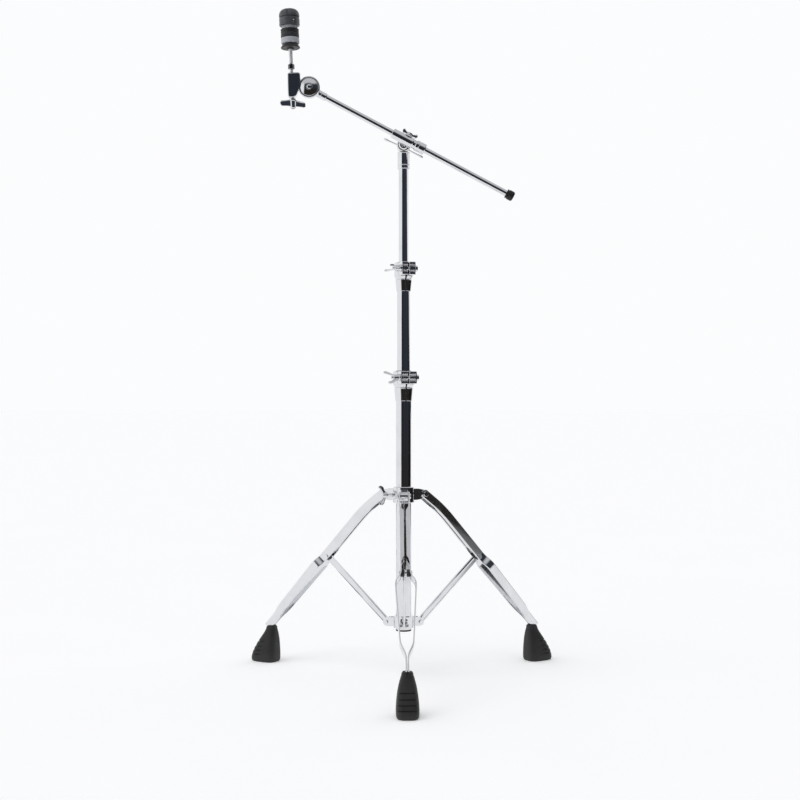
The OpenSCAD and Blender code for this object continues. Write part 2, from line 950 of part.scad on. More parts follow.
module topper_washer() {
    color([0.62, 0.63, 0.66])
        turned([[14.6, washer_z + gap], [15, washer_z + 1], [15, cap_z - 1], [14.6, cap_z]],
               post_d / 2 + 0.1);
}

BUTTON_ANGLES = [182, -61, 59];
button_z = cap_z + 7;

// Frame of a release button: +X outwards from the post through the button
module at_button(k) {
    on_post()
        translate([0, 0, button_z])
            rotate([0, 0, BUTTON_ANGLES[k]])
                children();
}

module topper_body() {
    color([0.12, 0.12, 0.14])
        difference() {
            turned([[topper_d / 2 - 1, cap_z + gap], [topper_d / 2, cap_z + 1],
                    [topper_d / 2, dome_z - 1.5], [topper_d / 2 - 1.5, dome_z]],
                   post_d / 2 + 0.1);
            for (k = [0 : 2])
                at_button(k)
                    rotate([0, 90, 0])
                        translate([0, 0, topper_d / 2 - 8])
                            cylinder(r = 3 + gap, h = 12);
        }
}

module topper_dome() {
    dome_r = topper_d / 2;
    color([0.12, 0.12, 0.14])
        difference() {
            on_post()
                rotate_extrude()
                    polygon(concat([[0, dome_z + gap], [dome_r - 2, dome_z + gap],
                                    [dome_r - 2, dome_z + 2], [dome_r, dome_z + 2],
                                    [dome_r, dome_z + 5]],
                                   [for (a = [10 : 10 : 60])
                                       [8 + (dome_r - 8) * cos(a * 1.5),
                                        dome_z + 5 + (dome_h - 5) * sin(a * 1.5)]],
                                   [[0, dome_z + dome_h]]));
            on_post()
                translate([0, 0, dome_z - 1])
                    cylinder(r = post_d / 2 + 0.1, h = post_top - dome_z + 3);
            // screwdriver slot down the front of the dome
            on_post()
                translate([-3.5, -dome_r - 1, dome_z + 5])
                    cube([3, 8, dome_h]);
        }
}

module release_button(k) {
    color("silver")
        at_button(k)
            rotate([0, 90, 0])
                translate([0, 0, topper_d / 2 - 6])
                    cylinder(r = 3, h = 5.5);
}

module release_button_left() { release_button(0); }
module release_button_front() { release_button(1); }
module release_button_back() { release_button(2); }

// ---- assembly ----

base_tube();
base_tube_plug();
brace_collar();
brace_collar_screw();
brace_pivot_pins();
leg_collar();
leg_pivot_pins();
leg_collar_wing_bolt();
front_leg();
right_leg();
left_leg();
front_leg_rivet();
right_leg_rivet();
left_leg_rivet();
front_leg_spacers();
right_leg_spacers();
left_leg_spacers();
front_brace();
right_brace();
left_brace();
front_foot();
right_foot();
left_foot();
base_joint();
base_bushing();
base_clamp_bolt();
base_wing_nut();
mid_tube();
mid_joint();
mid_bushing();
mid_clamp_bolt();
mid_wing_nut();
top_tube();
tilter_base();
tilter_bolt();
tilter_wing_nut();
boom_holder();
boom_liner();
boom_wing_bolt();
boom_rod();
boom_end_cap();
boom_ferrule();
rod_ratchet();
seat_arm();
seat_ratchet_bolt();
seat_ratchet_nut();
cymbal_post();
post_lock_nut();
post_wing_nut();
seat_cup();
lower_felt();
upper_felt();
felt_cup();
topper_washer();
topper_body();
topper_dome();
release_button_left();
release_button_front();
release_button_back();
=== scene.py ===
"""Cymbal boom stand: fine shapes, finishes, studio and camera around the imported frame."""

import json
import math
import random

import bmesh
import bpy
import numpy as np
from mathutils import Matrix, Vector, noise

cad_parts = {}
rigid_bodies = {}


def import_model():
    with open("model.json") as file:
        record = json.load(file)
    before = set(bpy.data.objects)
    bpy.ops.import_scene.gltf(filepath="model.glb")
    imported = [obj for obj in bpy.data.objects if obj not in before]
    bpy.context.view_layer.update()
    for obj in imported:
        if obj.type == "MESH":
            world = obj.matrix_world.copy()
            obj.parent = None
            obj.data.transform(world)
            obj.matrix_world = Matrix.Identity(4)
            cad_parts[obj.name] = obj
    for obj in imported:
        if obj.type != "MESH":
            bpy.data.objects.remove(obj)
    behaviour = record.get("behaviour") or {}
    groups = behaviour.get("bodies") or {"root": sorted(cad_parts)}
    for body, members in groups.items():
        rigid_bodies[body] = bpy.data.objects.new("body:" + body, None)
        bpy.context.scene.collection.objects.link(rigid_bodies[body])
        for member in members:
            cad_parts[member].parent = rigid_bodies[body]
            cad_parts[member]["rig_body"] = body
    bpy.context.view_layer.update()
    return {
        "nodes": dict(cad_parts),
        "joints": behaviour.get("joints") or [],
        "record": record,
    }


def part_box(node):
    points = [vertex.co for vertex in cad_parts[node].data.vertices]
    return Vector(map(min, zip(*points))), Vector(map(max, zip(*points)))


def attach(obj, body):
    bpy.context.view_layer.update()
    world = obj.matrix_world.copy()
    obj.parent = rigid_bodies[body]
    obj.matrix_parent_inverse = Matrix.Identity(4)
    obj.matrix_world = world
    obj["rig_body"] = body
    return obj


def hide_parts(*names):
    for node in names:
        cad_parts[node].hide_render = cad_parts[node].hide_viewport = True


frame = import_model()

MM = 0.001
TAU = 2 * math.pi
JOINTS = {j["name"]: j for j in frame["joints"]}
SLOT_OF = {s["node"]: s["material_slot"] for s in frame["record"]["subparts"]}
BODY_OF = {n: o["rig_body"] for n, o in frame["nodes"].items()}
random.seed(7)


# ---------------------------------------------------------------- frames

def anchor(joint):
    return Vector(JOINTS[joint]["pos_m"])


def axis_of(joint):
    return Vector(JOINTS[joint]["axis"]).normalized()


def frame_at(origin, z_axis, x_hint):
    """Matrix whose Z is z_axis and whose X is x_hint made square to it."""
    z = Vector(z_axis).normalized()
    x = Vector(x_hint)
    x = (x - z * x.dot(z)).normalized()
    y = z.cross(x)
    m = Matrix((x, y, z)).transposed().to_4x4()
    m.translation = Vector(origin)
    return m


def node_points(node):
    return np.array([v.co for v in frame["nodes"][node].data.vertices], float)


def spread(node, origin, axis):
    """Lowest and highest place of a CAD node along an axis, its largest radius, and the way its farthest point lies."""
    a = np.array(axis, float)
    co = node_points(node) - np.array(origin, float)
    t = co @ a
    out = co - t[:, None] * a
    r = np.linalg.norm(out, axis=1)
    far = out[r.argmax()] / r.max()
    return t.min(), t.max(), r.max(), Vector(far)


# ---------------------------------------------------------------- mesh tools

class Shape:
    """Collects the vertices and faces of one piece."""

    def __init__(self):
        self.v, self.f = [], []

    def add(self, verts, faces, m=None):
        base = len(self.v)
        self.v += [tuple(m @ Vector(p)) if m else tuple(p) for p in verts]
        self.f += [tuple(base + i for i in face) for face in faces]
        return self


def soften(profile, d, steps=3, closed=False):
    """Rounds the corners of a polyline, starting d before each."""
    pts = [Vector((p[0], p[1])) for p in profile]
    n = len(pts)
    out = []
    for i, p in enumerate(pts):
        if not closed and i in (0, n - 1):
            out.append(p)
            continue
        a, c = pts[(i - 1) % n], pts[(i + 1) % n]
        da, dc = min(d, (a - p).length * 0.45), min(d, (c - p).length * 0.45)
        if da < 1e-9 or dc < 1e-9:
            out.append(p)
            continue
        s, e = p + (a - p).normalized() * da, p + (c - p).normalized() * dc
        for k in range(steps + 1):
            t = k / steps
            out.append(s * (1 - t) ** 2 + p * (2 * t * (1 - t)) + e * t * t)
    return [(q.x, q.y) for q in out]


def lathe(profile, n=64, closed=True):
    """A turned solid: profile of (radius, height); a closed profile makes a ring."""
    verts, faces, rings = [], [], []
    for r, z in profile:
        if r < 1e-7:
            rings.append([len(verts)] * n)
            verts.append((0, 0, z))
        else:
            rings.append([len(verts) + k for k in range(n)])
            verts += [(r * math.cos(TAU * k / n), r * math.sin(TAU * k / n), z) for k in range(n)]
    pairs = list(zip(rings, rings[1:] + rings[:1])) if closed else list(zip(rings, rings[1:]))
    for a, b in pairs:
        for k in range(n):
            quad = [a[k], a[(k + 1) % n], b[(k + 1) % n], b[k]]
            face = [v for i, v in enumerate(quad) if v not in quad[:i]]
            if len(face) > 2:
                faces.append(face)
    return verts, faces


def loft(rings, cap=True):
    """Skin over rings with the same number of points."""
    n = len(rings[0])
    verts = [tuple(p) for ring in rings for p in ring]
    faces = []
    for i in range(len(rings) - 1):
        for k in range(n):
            a, b = i * n + k, i * n + (k + 1) % n
            faces.append((a, b, b + n, a + n))
    if cap:
        faces.append(tuple(reversed(range(n))))
        faces.append(tuple(range((len(rings) - 1) * n, len(rings) * n)))
    return verts, faces


def squircle(a, b, n=24, power=4.0):
    """Rounded rectangle of half sizes a and b."""
    pts = []
    for k in range(n):
        c, s = math.cos(TAU * (k + 0.5) / n), math.sin(TAU * (k + 0.5) / n)
        pts.append((a * math.copysign(abs(c) ** (2 / power), c), b * math.copysign(abs(s) ** (2 / power), s)))
    return pts


def prism(outline, z0, z1, bevel, steps=3):
    """A plate with rounded edges: outline drawn anticlockwise in XY."""
    pts = [Vector(p) for p in outline]
    n = len(pts)
    normals = []
    for i in range(n):
        d0 = (pts[i] - pts[i - 1]).normalized()
        d1 = (pts[(i + 1) % n] - pts[i]).normalized()
        nrm = Vector((d0.y + d1.y, -d0.x - d1.x))
        nrm = nrm / max(nrm.length_squared, 1e-9) * 2 if nrm.length > 1e-6 else Vector((d1.y, -d1.x))
        normals.append(nrm)
    rings = []
    for k in range(steps + 1):
        a = math.pi / 2 * k / steps
        inset, z = bevel * (1 - math.sin(a)), z0 + bevel * (1 - math.cos(a))
        rings.append([(p.x - q.x * inset, p.y - q.y * inset, z) for p, q in zip(pts, normals)])
    for ring in list(reversed(rings)):
        rings.append([(x, y, z0 + z1 - z) for x, y, z in ring])
    return loft(rings)


def ngon(r, n, turn=0.0):
    return [(r * math.cos(TAU * k / n + turn), r * math.sin(TAU * k / n + turn)) for k in range(n)]


def clean(bm):
    bmesh.ops.remove_doubles(bm, verts=bm.verts, dist=1e-7)
    bmesh.ops.dissolve_degenerate(bm, dist=1e-8, edges=bm.edges)
    bmesh.ops.recalc_face_normals(bm, faces=bm.faces)


def flatten_shading(ob):
    """Flat faces keep flat shading beside rounded edges."""
    mod = ob.modifiers.new("weighted", "WEIGHTED_NORMAL")
    mod.keep_sharp = True
    mod.weight = 60


def piece(name, shape, node, mat, body=None, stands_for=True, sharp=38, soft=False):
    """Turns a Shape into an object that rides with the CAD node's body and takes its place."""
    me = bpy.data.meshes.new(name)
    me.from_pydata(shape.v, [], shape.f)
    bm = bmesh.new()
    bm.from_mesh(me)
    clean(bm)
    bm.to_mesh(me)
    bm.free()
    me.shade_smooth()
    me.set_sharp_from_angle(angle=math.radians(sharp))
    ob = bpy.data.objects.new(name, me)
    bpy.context.scene.collection.objects.link(ob)
    me.materials.append(mat)
    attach(ob, body or BODY_OF[node])
    if stands_for:
        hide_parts(node)
    if not soft:
        flatten_shading(ob)
    return ob


def refine(node, width, mat, segments=2, sharp=38, edge_angle=30):
    """A copy of a CAD node with its flat faces merged and its edges rounded by width."""
    me = frame["nodes"][node].data.copy()
    me.name = node + "_fine"
    me.materials.clear()
    me.materials.append(mat)
    bm = bmesh.new()
    bm.from_mesh(me)
    for layer in list(bm.loops.layers.uv):
        bm.loops.layers.uv.remove(layer)
    bmesh.ops.remove_doubles(bm, verts=bm.verts, dist=2e-6)
    bmesh.ops.dissolve_degenerate(bm, dist=2e-6, edges=bm.edges)
    bmesh.ops.recalc_face_normals(bm, faces=bm.faces)
    bmesh.ops.dissolve_limit(bm, angle_limit=math.radians(0.6), verts=bm.verts, edges=bm.edges)
    edges = [e for e in bm.edges
             if len(e.link_faces) == 2 and e.calc_face_angle(0) > math.radians(edge_angle)]
    if width > 0:
        bmesh.ops.bevel(bm, geom=edges, offset=width, offset_type="OFFSET", segments=segments,
                        profile=0.5, affect="EDGES", clamp_overlap=True)
    bmesh.ops.dissolve_degenerate(bm, dist=1e-7, edges=bm.edges)
    for f in bm.faces:
        f.material_index = 0
    bm.to_mesh(me)
    bm.free()
    me.shade_smooth()
    me.set_sharp_from_angle(angle=math.radians(sharp))
    ob = bpy.data.objects.new(node + "_fine", me)
    bpy.context.scene.collection.objects.link(ob)
    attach(ob, BODY_OF[node])
    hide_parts(node)
    flatten_shading(ob)
    return ob


# ---------------------------------------------------------------- materials

class Nodes:
    """Short way to write a node tree."""

    def __init__(self, tree):
        self.tree = tree
        tree.nodes.clear()

    def new(self, kind, inputs=None, **settings):
        n = self.tree.nodes.new("ShaderNode" + kind)
        for k, v in settings.items():
            setattr(n, k, v)
        for k, v in (inputs or {}).items():
            socket = n.inputs[k]
            if isinstance(v, bpy.types.NodeSocket):
                self.tree.links.new(v, socket)
            else:
                socket.default_value = v
        return n

    def math(self, op, a, b=0.0, clamp=False):
        return self.new("Math", {0: a, 1: b}, operation=op, use_clamp=clamp).outputs[0]

    def ramp(self, fac, stops):
        n = self.new("ValToRGB", {"Fac": fac})
        ramp = n.color_ramp
        while len(ramp.elements) < len(stops):
            ramp.elements.new(0.5)
        for e, (pos, col) in zip(ramp.elements, stops):
            e.position = pos
            e.color = (*col, 1) if len(col) == 3 else col
        return n.outputs["Color"]

    def span(self, value, lo, hi):
        """Maps 0..1 to lo..hi."""
        return self.new("MapRange", {"Value": value, "To Min": lo, "To Max": hi}).outputs[0]


def surface(name, build):
    mat = bpy.data.materials.new(name)
    mat.use_nodes = True
    g = Nodes(mat.node_tree)
    bsdf = g.new("BsdfPrincipled")
    out = g.new("OutputMaterial")
    mat.node_tree.links.new(bsdf.outputs[0], out.inputs["Surface"])
    place = g.new("TexCoord").outputs["Object"]

    def put(**values):
        for k, v in values.items():
            socket = bsdf.inputs[k.replace("_", " ")]
            if isinstance(v, bpy.types.NodeSocket):
                mat.node_tree.links.new(v, socket)
            else:
                socket.default_value = v

    build(g, place, put)
    return mat


def chrome(name, tint=(0.76, 0.768, 0.785), rough=0.05, peel=0.0, grain=(1, 1, 1), haze=0.05):
    """Plated steel: smudged haze in the roughness, hairline scratches, and orange peel on castings."""

    def build(g, place, put):
        smudge = g.new("TexNoise", {"Vector": place, "Scale": 38.0, "Detail": 4.0, "Roughness": 0.6}).outputs["Fac"]
        cloud = g.ramp(smudge, [(0.42, (0, 0, 0)), (0.72, (1, 1, 1))])
        stretched = g.new("Mapping", {"Vector": place, "Scale": grain}).outputs[0]
        hair = g.new("TexNoise", {"Vector": stretched, "Scale": 900.0, "Detail": 2.0}).outputs["Fac"]
        lines = g.ramp(hair, [(0.6, (0, 0, 0)), (0.68, (1, 1, 1))])
        rough_haze = g.span(cloud, rough, rough + haze)
        total = g.math("ADD", rough_haze, g.math("MULTIPLY", lines, 0.05))
        dark = tuple(c * 0.93 for c in tint)
        colour = g.new("Mix", {"Factor": cloud, "A": (*tint, 1), "B": (*dark, 1)}, data_type="RGBA").outputs["Result"]
        put(Metallic=1.0, Roughness=total, Base_Color=colour)
        wave = g.new("TexNoise", {"Vector": place, "Scale": 210.0, "Detail": 1.0}).outputs["Fac"]
        bump = g.new("Bump", {"Height": wave, "Strength": peel, "Distance": 0.0008}).outputs[0]
        fine = g.new("Bump", {"Height": lines, "Strength": 0.03, "Distance": 0.0002, "Normal": bump}).outputs[0]
        put(Normal=fine)

    return surface(name, build)


def rubber(name, colour=(0.013, 0.013, 0.014), rough=0.52, dusty=0.06):
    """Moulded rubber: fine pebble, scuffed patches, dust that gathers low down."""

    def build(g, place, put):
        big = g.new("TexNoise", {"Vector": place, "Scale": 60.0, "Detail": 5.0, "Roughness": 0.65}).outputs["Fac"]
        scuff = g.ramp(big, [(0.5, (0, 0, 0)), (0.75, (1, 1, 1))])
        height = g.new("SeparateXYZ", {"Vector": place}).outputs["Z"]
        low = g.new("MapRange", {"Value": height, "From Min": 0.022, "From Max": 0.0, "To Min": 0.0,
                                 "To Max": 1.0}).outputs[0]
        dust = g.math("MULTIPLY", g.math("ADD", g.math("MULTIPLY", low, 0.6), g.math("MULTIPLY", scuff, 0.35)),
                      dusty * 4, clamp=True)
        pale = (0.075, 0.073, 0.07)
        put(Base_Color=g.new("Mix", {"Factor": dust, "A": (*colour, 1), "B": (*pale, 1)},
                             data_type="RGBA").outputs["Result"])
        put(Roughness=g.span(scuff, rough, rough + 0.18), Specular_IOR_Level=0.42)
        pebble = g.new("TexVoronoi", {"Vector": place, "Scale": 900.0}).outputs["Distance"]
        bump = g.new("Bump", {"Height": pebble, "Strength": 0.16, "Distance": 0.0003}).outputs[0]
        put(Normal=g.new("Bump", {"Height": big, "Strength": 0.1, "Distance": 0.0006, "Normal": bump}).outputs[0])

    return surface(name, build)


def plastic(name, colour=(0.016, 0.016, 0.018), rough=0.33):
    """Moulded plastic: spark-eroded grain and rubbed, shinier high spots."""

    def build(g, place, put):
        spark = g.new("TexNoise", {"Vector": place, "Scale": 1400.0, "Detail": 3.0}).outputs["Fac"]
        wear = g.new("TexNoise", {"Vector": place, "Scale": 90.0, "Detail": 3.0}).outputs["Fac"]
        patch = g.ramp(wear, [(0.45, (0, 0, 0)), (0.7, (1, 1, 1))])
        lighter = tuple(c * 1.5 + 0.002 for c in colour)
        put(Base_Color=g.new("Mix", {"Factor": patch, "A": (*colour, 1), "B": (*lighter, 1)},
                             data_type="RGBA").outputs["Result"])
        put(Roughness=g.span(patch, rough + 0.1, rough - 0.05), Specular_IOR_Level=0.5)
        put(Normal=g.new("Bump", {"Height": spark, "Strength": 0.08, "Distance": 0.0002}).outputs[0])

    return surface(name, build)


def felt(name, dark, light):
    """Pressed wool: mottled fibres, deep soft bump and sheen."""

    def build(g, place, put):
        warp = g.new("TexNoise", {"Vector": place, "Scale": 160.0, "Detail": 3.0}).outputs["Color"]
        bent = g.new("VectorMath", {0: place, 1: g.new("VectorMath", {0: warp, "Scale": 0.004},
                                                      operation="SCALE").outputs[0]}, operation="ADD").outputs[0]
        strand = g.new("TexNoise", {"Vector": g.new("Mapping", {"Vector": bent, "Scale": (1, 1, 3.2)}).outputs[0],
                                    "Scale": 620.0, "Detail": 6.0, "Roughness": 0.7}).outputs["Fac"]
        fleck = g.new("TexNoise", {"Vector": place, "Scale": 230.0, "Detail": 2.0}).outputs["Fac"]
        both = g.math("ADD", g.math("MULTIPLY", strand, 0.7), g.math("MULTIPLY", fleck, 0.3))
        put(Base_Color=g.ramp(both, [(0.35, dark), (0.65, light)]))
        put(Roughness=0.95, Specular_IOR_Level=0.15, Sheen_Weight=0.5, Sheen_Roughness=0.45)
        put(Normal=g.new("Bump", {"Height": both, "Strength": 0.55, "Distance": 0.0007}).outputs[0])

    return surface(name, build)


CHROME_TUBE = chrome("chrome_tube", rough=0.035, haze=0.035, peel=0.012, grain=(1, 1, 0.04))
CHROME_CAST = chrome("chrome_casting", rough=0.06, peel=0.04, haze=0.06)
CHROME_STRIP = chrome("chrome_strip", rough=0.06, peel=0.005, haze=0.05, grain=(1, 1, 0.3))
CHROME_SMALL = chrome("chrome_hardware", rough=0.08, peel=0.03, haze=0.08)
DARK_STEEL = chrome("blackened_steel", tint=(0.13, 0.13, 0.135), rough=0.28, peel=0.05, haze=0.12)
FOOT_RUBBER = rubber("foot_rubber")
CAP_RUBBER = rubber("end_cap_rubber", rough=0.45, dusty=0.02)
TOPPER_PLASTIC = plastic("topper_plastic", colour=(0.07, 0.074, 0.082), rough=0.28)
NYLON = plastic("black_nylon", colour=(0.02, 0.02, 0.021), rough=0.42)
GREY_FELT = felt("grey_felt", (0.34, 0.355, 0.385), (0.72, 0.74, 0.79))
CHARCOAL_FELT = felt("charcoal_felt", (0.02, 0.021, 0.024), (0.075, 0.077, 0.086))
WASHER_GREY = felt("washer_felt", (0.36, 0.375, 0.4), (0.72, 0.74, 0.79))


# ---------------------------------------------------------------- tubes

def tube_piece(node, wall):
    lo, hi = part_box(node)
    r = (hi.x - lo.x) / 2
    rim = 0.35 * MM
    ring = soften([(r, lo.z), (r, hi.z), (r - wall, hi.z), (r - wall, lo.z)], rim, 3, closed=True)
    dense = []
    for a, b in zip(ring, ring[1:] + ring[:1]):
        dense.append(a)
        for k in range(1, 4):
            if abs(a[1] - b[1]) > 0.05:
                dense.append((a[0] + (b[0] - a[0]) * k / 4, a[1] + (b[1] - a[1]) * k / 4))
    shape = Shape().add(*lathe(dense, 96))
    return piece(node + "_fine", shape, node, CHROME_TUBE)


tube_piece("base_tube", 1.15 * MM)
tube_piece("mid_tube", 1.1 * MM)
tube_piece("top_tube", 1.1 * MM)


# ---------------------------------------------------------------- wing nuts

def wing(shape, hub_r, hub_h, half_span, top, blade=3.4 * MM, hub_open=0.0, lift=0.42):
    """Hub up from z = 0 with two cast ears along X that sweep up to `top`."""
    flange = hub_r * 1.1
    profile = soften([(hub_open, 0), (flange, 0), (flange, hub_h * 0.16), (hub_r * 0.95, hub_h * 0.24),
                      (hub_r * 0.84, hub_h * 0.92), (hub_r * 0.66, hub_h), (hub_open, hub_h)], 0.5 * MM, 3,
                     closed=hub_open > 0)
    shape.add(*lathe(profile, 40, closed=hub_open > 0))
    tip_r = min(6 * MM, top * 0.5)
    z_tip = top - tip_r
    z_root = hub_h * lift
    for side in (-1, 1):
        rings = []
        steps = 22
        x0, x1 = hub_r * 0.35, half_span
        for k in range(steps + 1):
            t = k / steps
            ease = t * t * (3 - 2 * t)
            x = x0 + (x1 - x0) * t
            z = z_root + (z_tip - z_root) * ease
            height = hub_h * 0.4 * (1 - ease) + tip_r * ease - math.sin(math.pi * t) * 0.14 * tip_r
            left = (x1 - x) / tip_r
            if left < 1:
                height = tip_r * math.sqrt(max(1 - (1 - left) ** 2, 0.0009))
            thick = blade / 2 * (1.25 - 0.45 * math.sin(math.pi * min(t * 1.1, 1)))
            if left < 0.3:
                thick *= math.sqrt(max(1 - (1 - left / 0.3) ** 2, 0.02)) * 0.5 + 0.5
            rings.append([(side * x, q * thick, z + p * height) for p, q in squircle(1, 1, 20, 3.0)])
        shape.add(*loft(rings))


def place_wing(node, joint, mat, stem_r=0.0, hub_r=6.6 * MM, hub_h=13 * MM, stem=0.0, thread_hole=True):
    """A wing nut or wing bolt in the place of a CAD node, measured from the node itself."""
    origin, axis = anchor(joint), axis_of(joint)
    t0, t1, r, far = spread(node, origin, axis)
    m = frame_at(origin + axis * (t0 + stem), axis, far)
    shape = Shape()
    wing(shape, hub_r, hub_h, r, t1 - t0 - stem, hub_open=stem_r if thread_hole else 0.0)
    if stem > 0:
        stalk = soften([(0, -stem), (stem_r - 0.4 * MM, -stem), (stem_r, -stem + 0.8 * MM), (stem_r, 0.5 * MM),
                        (0, 0.5 * MM)], 0.2 * MM, 2)
        shape.add(*lathe(stalk, 28, closed=False))
    shape.v = [tuple(m @ Vector(p)) for p in shape.v]
    return piece(node + "_fine", shape, node, mat)


place_wing("base_wing_nut", "base_nut_turn", CHROME_CAST, stem_r=3.05 * MM)
place_wing("mid_wing_nut", "mid_nut_turn", CHROME_CAST, stem_r=3.05 * MM)
place_wing("tilter_wing_nut", "tilter_nut_turn", CHROME_CAST, stem_r=4.03 * MM, hub_r=8 * MM)
place_wing("boom_wing_bolt", "boom_bolt_turn", CHROME_CAST, stem_r=3.5 * MM, hub_r=6.5 * MM, hub_h=5.5 * MM,
           stem=3.2 * MM, thread_hole=False)
place_wing("leg_collar_wing_bolt", "leg_collar_bolt_turn", CHROME_CAST, stem_r=3.5 * MM, hub_r=6 * MM, hub_h=10 * MM,
           stem=22.7 * MM, thread_hole=False)


# ---------------------------------------------------------------- castings and small hardware kept close to the CAD

for node, width, mat in [
    ("brace_collar", 0.5, CHROME_CAST),
    ("base_clamp_bolt", 0.4, CHROME_SMALL), ("mid_clamp_bolt", 0.4, CHROME_SMALL),
    ("leg_pivot_pins", 0.5, CHROME_SMALL), ("brace_pivot_pins", 0.5, CHROME_SMALL),
    ("brace_collar_screw", 0.25, DARK_STEEL), ("base_tube_plug", 0.5, NYLON),
    ("front_brace", 0.5, CHROME_STRIP), ("right_brace", 0.5, CHROME_STRIP), ("left_brace", 0.5, CHROME_STRIP),
    ("front_leg_rivet", 0.6, CHROME_SMALL), ("right_leg_rivet", 0.6, CHROME_SMALL),
    ("left_leg_rivet", 0.6, CHROME_SMALL),
    ("front_leg_spacers", 0.4, NYLON), ("right_leg_spacers", 0.4, NYLON), ("left_leg_spacers", 0.4, NYLON),
    ("base_bushing", 0.2, NYLON), ("mid_bushing", 0.2, NYLON), ("boom_liner", 0.2, NYLON),
    ("tilter_bolt", 0.4, CHROME_SMALL),
    ("seat_ratchet_bolt", 0.4, CHROME_SMALL), ("seat_ratchet_nut", 0.4, CHROME_SMALL),
    ("post_lock_nut", 0.4, DARK_STEEL),
]:
    refine(node, width * MM, mat)


# ---------------------------------------------------------------- castings rebuilt as turned and lofted shapes

def swept(profile, a0, a1, n=90):
    """A turned solid that stops at two angles, with flat ends."""
    rings = []
    for k in range(n + 1):
        a = a0 + (a1 - a0) * k / n
        rings.append([(r * math.cos(a), r * math.sin(a), z) for r, z in profile])
    return loft(rings)


def scaled(profile, d=0.0, steps=3, closed=True):
    """A profile in millimetres with softened corners, in metres."""
    pts = soften(profile, d, steps, closed=closed) if d else profile
    return [(r * MM, z * MM) for r, z in pts]


def lug(shape, m, side, bore_r, half_w, z0, z1, reach=37.0, root=3.0, slit=1.2, bevel=1.1, groove_r=2.7):
    """One half of a clamp's lugs: drawn outwards along -Y, with two scooped finger grooves on its face."""
    mid = (z0 + z1) / 2
    grooves = [mid - (z1 - z0) * 0.21, mid + (z1 - z0) * 0.21]
    levels = [z0 + bevel * (1 - math.cos(math.pi / 2 * k / 4)) for k in range(5)]
    levels += [z0 + bevel + (z1 - z0 - 2 * bevel) * k / 56 for k in range(1, 56)]
    levels += [z1 - (z - z0) for z in reversed(levels[:5])]
    rings = []
    for z in levels:
        edge = min(z - z0, z1 - z)
        inset = bevel - math.sqrt(max(bevel * bevel - max(bevel - edge, 0) ** 2, 0))
        dip = max(math.sqrt(max(groove_r ** 2 - (z - g) ** 2, 0)) for g in grooves)
        front, low = reach - inset, reach - inset - dip
        a0, a1 = math.acos(min((slit + inset) / bore_r, 1)), math.asin(root / bore_r)
        arc = [(bore_r * math.cos(a0 + (a1 - a0) * k / 8), bore_r * math.sin(a0 + (a1 - a0) * k / 8)) for k in range(9)]
        outer = half_w - inset
        corner = 1.6
        ring = list(arc)
        ring += [(outer, root), (outer, reach * 0.5), (outer, front - corner)]
        ring += [(outer - corner * (1 - math.cos(a)), front - corner * (1 - math.sin(a)))
                 for a in (math.pi / 8, math.pi / 4, math.pi * 3 / 8, math.pi / 2)]
        ring += [(outer - 2.6, front), (outer - 3.4, low), (half_w * 0.5, low), (slit + inset + 0.5, low),
                 (slit + inset, low - 0.5)]
        ring = [m @ Vector((side * x * MM, -y * MM, z * MM)) for x, y in ring]
        rings.append(ring if side > 0 else list(reversed(ring)))
    shape.add(*loft(rings))


def joint_piece(node, nut_joint, low_r, bush_r, sleeve_h, block_h, low_top, neck_h=6.0):
    lo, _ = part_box(node)
    toward = axis_of(nut_joint)
    m = frame_at((0, 0, lo.z), (0, 0, 1), -toward)
    sleeve_r, ring_r = low_r + 1.2, low_r + 5.6
    block_z, slit = sleeve_h + neck_h, 1.2
    top = block_z + block_h
    bore = low_r + 0.05
    profile = [(bore, 0), (sleeve_r - 0.3, 0), (sleeve_r, 0.5), (sleeve_r + 2.1, sleeve_h - 2.4),
               (sleeve_r + 2.4, sleeve_h - 1.4), (sleeve_r + 2.3, sleeve_h - 0.3), (sleeve_r + 1.3, sleeve_h + 0.2),
               (sleeve_r + 1.5, sleeve_h + 1.2), (ring_r - 0.5, block_z - 0.6), (ring_r, block_z + 0.4),
               (ring_r, top - 1.2), (ring_r - 1.2, top), (bush_r + 0.6, top), (bush_r, top - 0.6), (bush_r, low_top),
               (bore, low_top)]
    shape = Shape()
    gap = math.asin(slit / low_r)
    verts, faces = swept(scaled(profile, 0.45), -math.pi / 2 + gap, 1.5 * math.pi - gap)
    shape.add(verts, faces, m=m)
    for side in (1, -1):
        lug(shape, m, side, bush_r + 1.2, low_r + 1.0, block_z + 0.8, top - 0.8)
    return piece(node + "_fine", shape, node, CHROME_CAST, sharp=40)


joint_piece("base_joint", "base_nut_turn", 15.0, 14.6, 26.0, 25.5, 40.0)
joint_piece("mid_joint", "mid_nut_turn", 12.7, 12.15, 22.5, 26.5, 34.0)


def plate(shape, outline, half, bevel, m, steps=4):
    """A plate with rounded edges, its outline in the XZ plane of m and its thickness along Y."""
    verts, faces = prism([(x * MM, z * MM) for x, z in outline], -half * MM, half * MM, bevel * MM, steps)
    shape.add([(x, -z, y) for x, y, z in verts], faces, m=m)


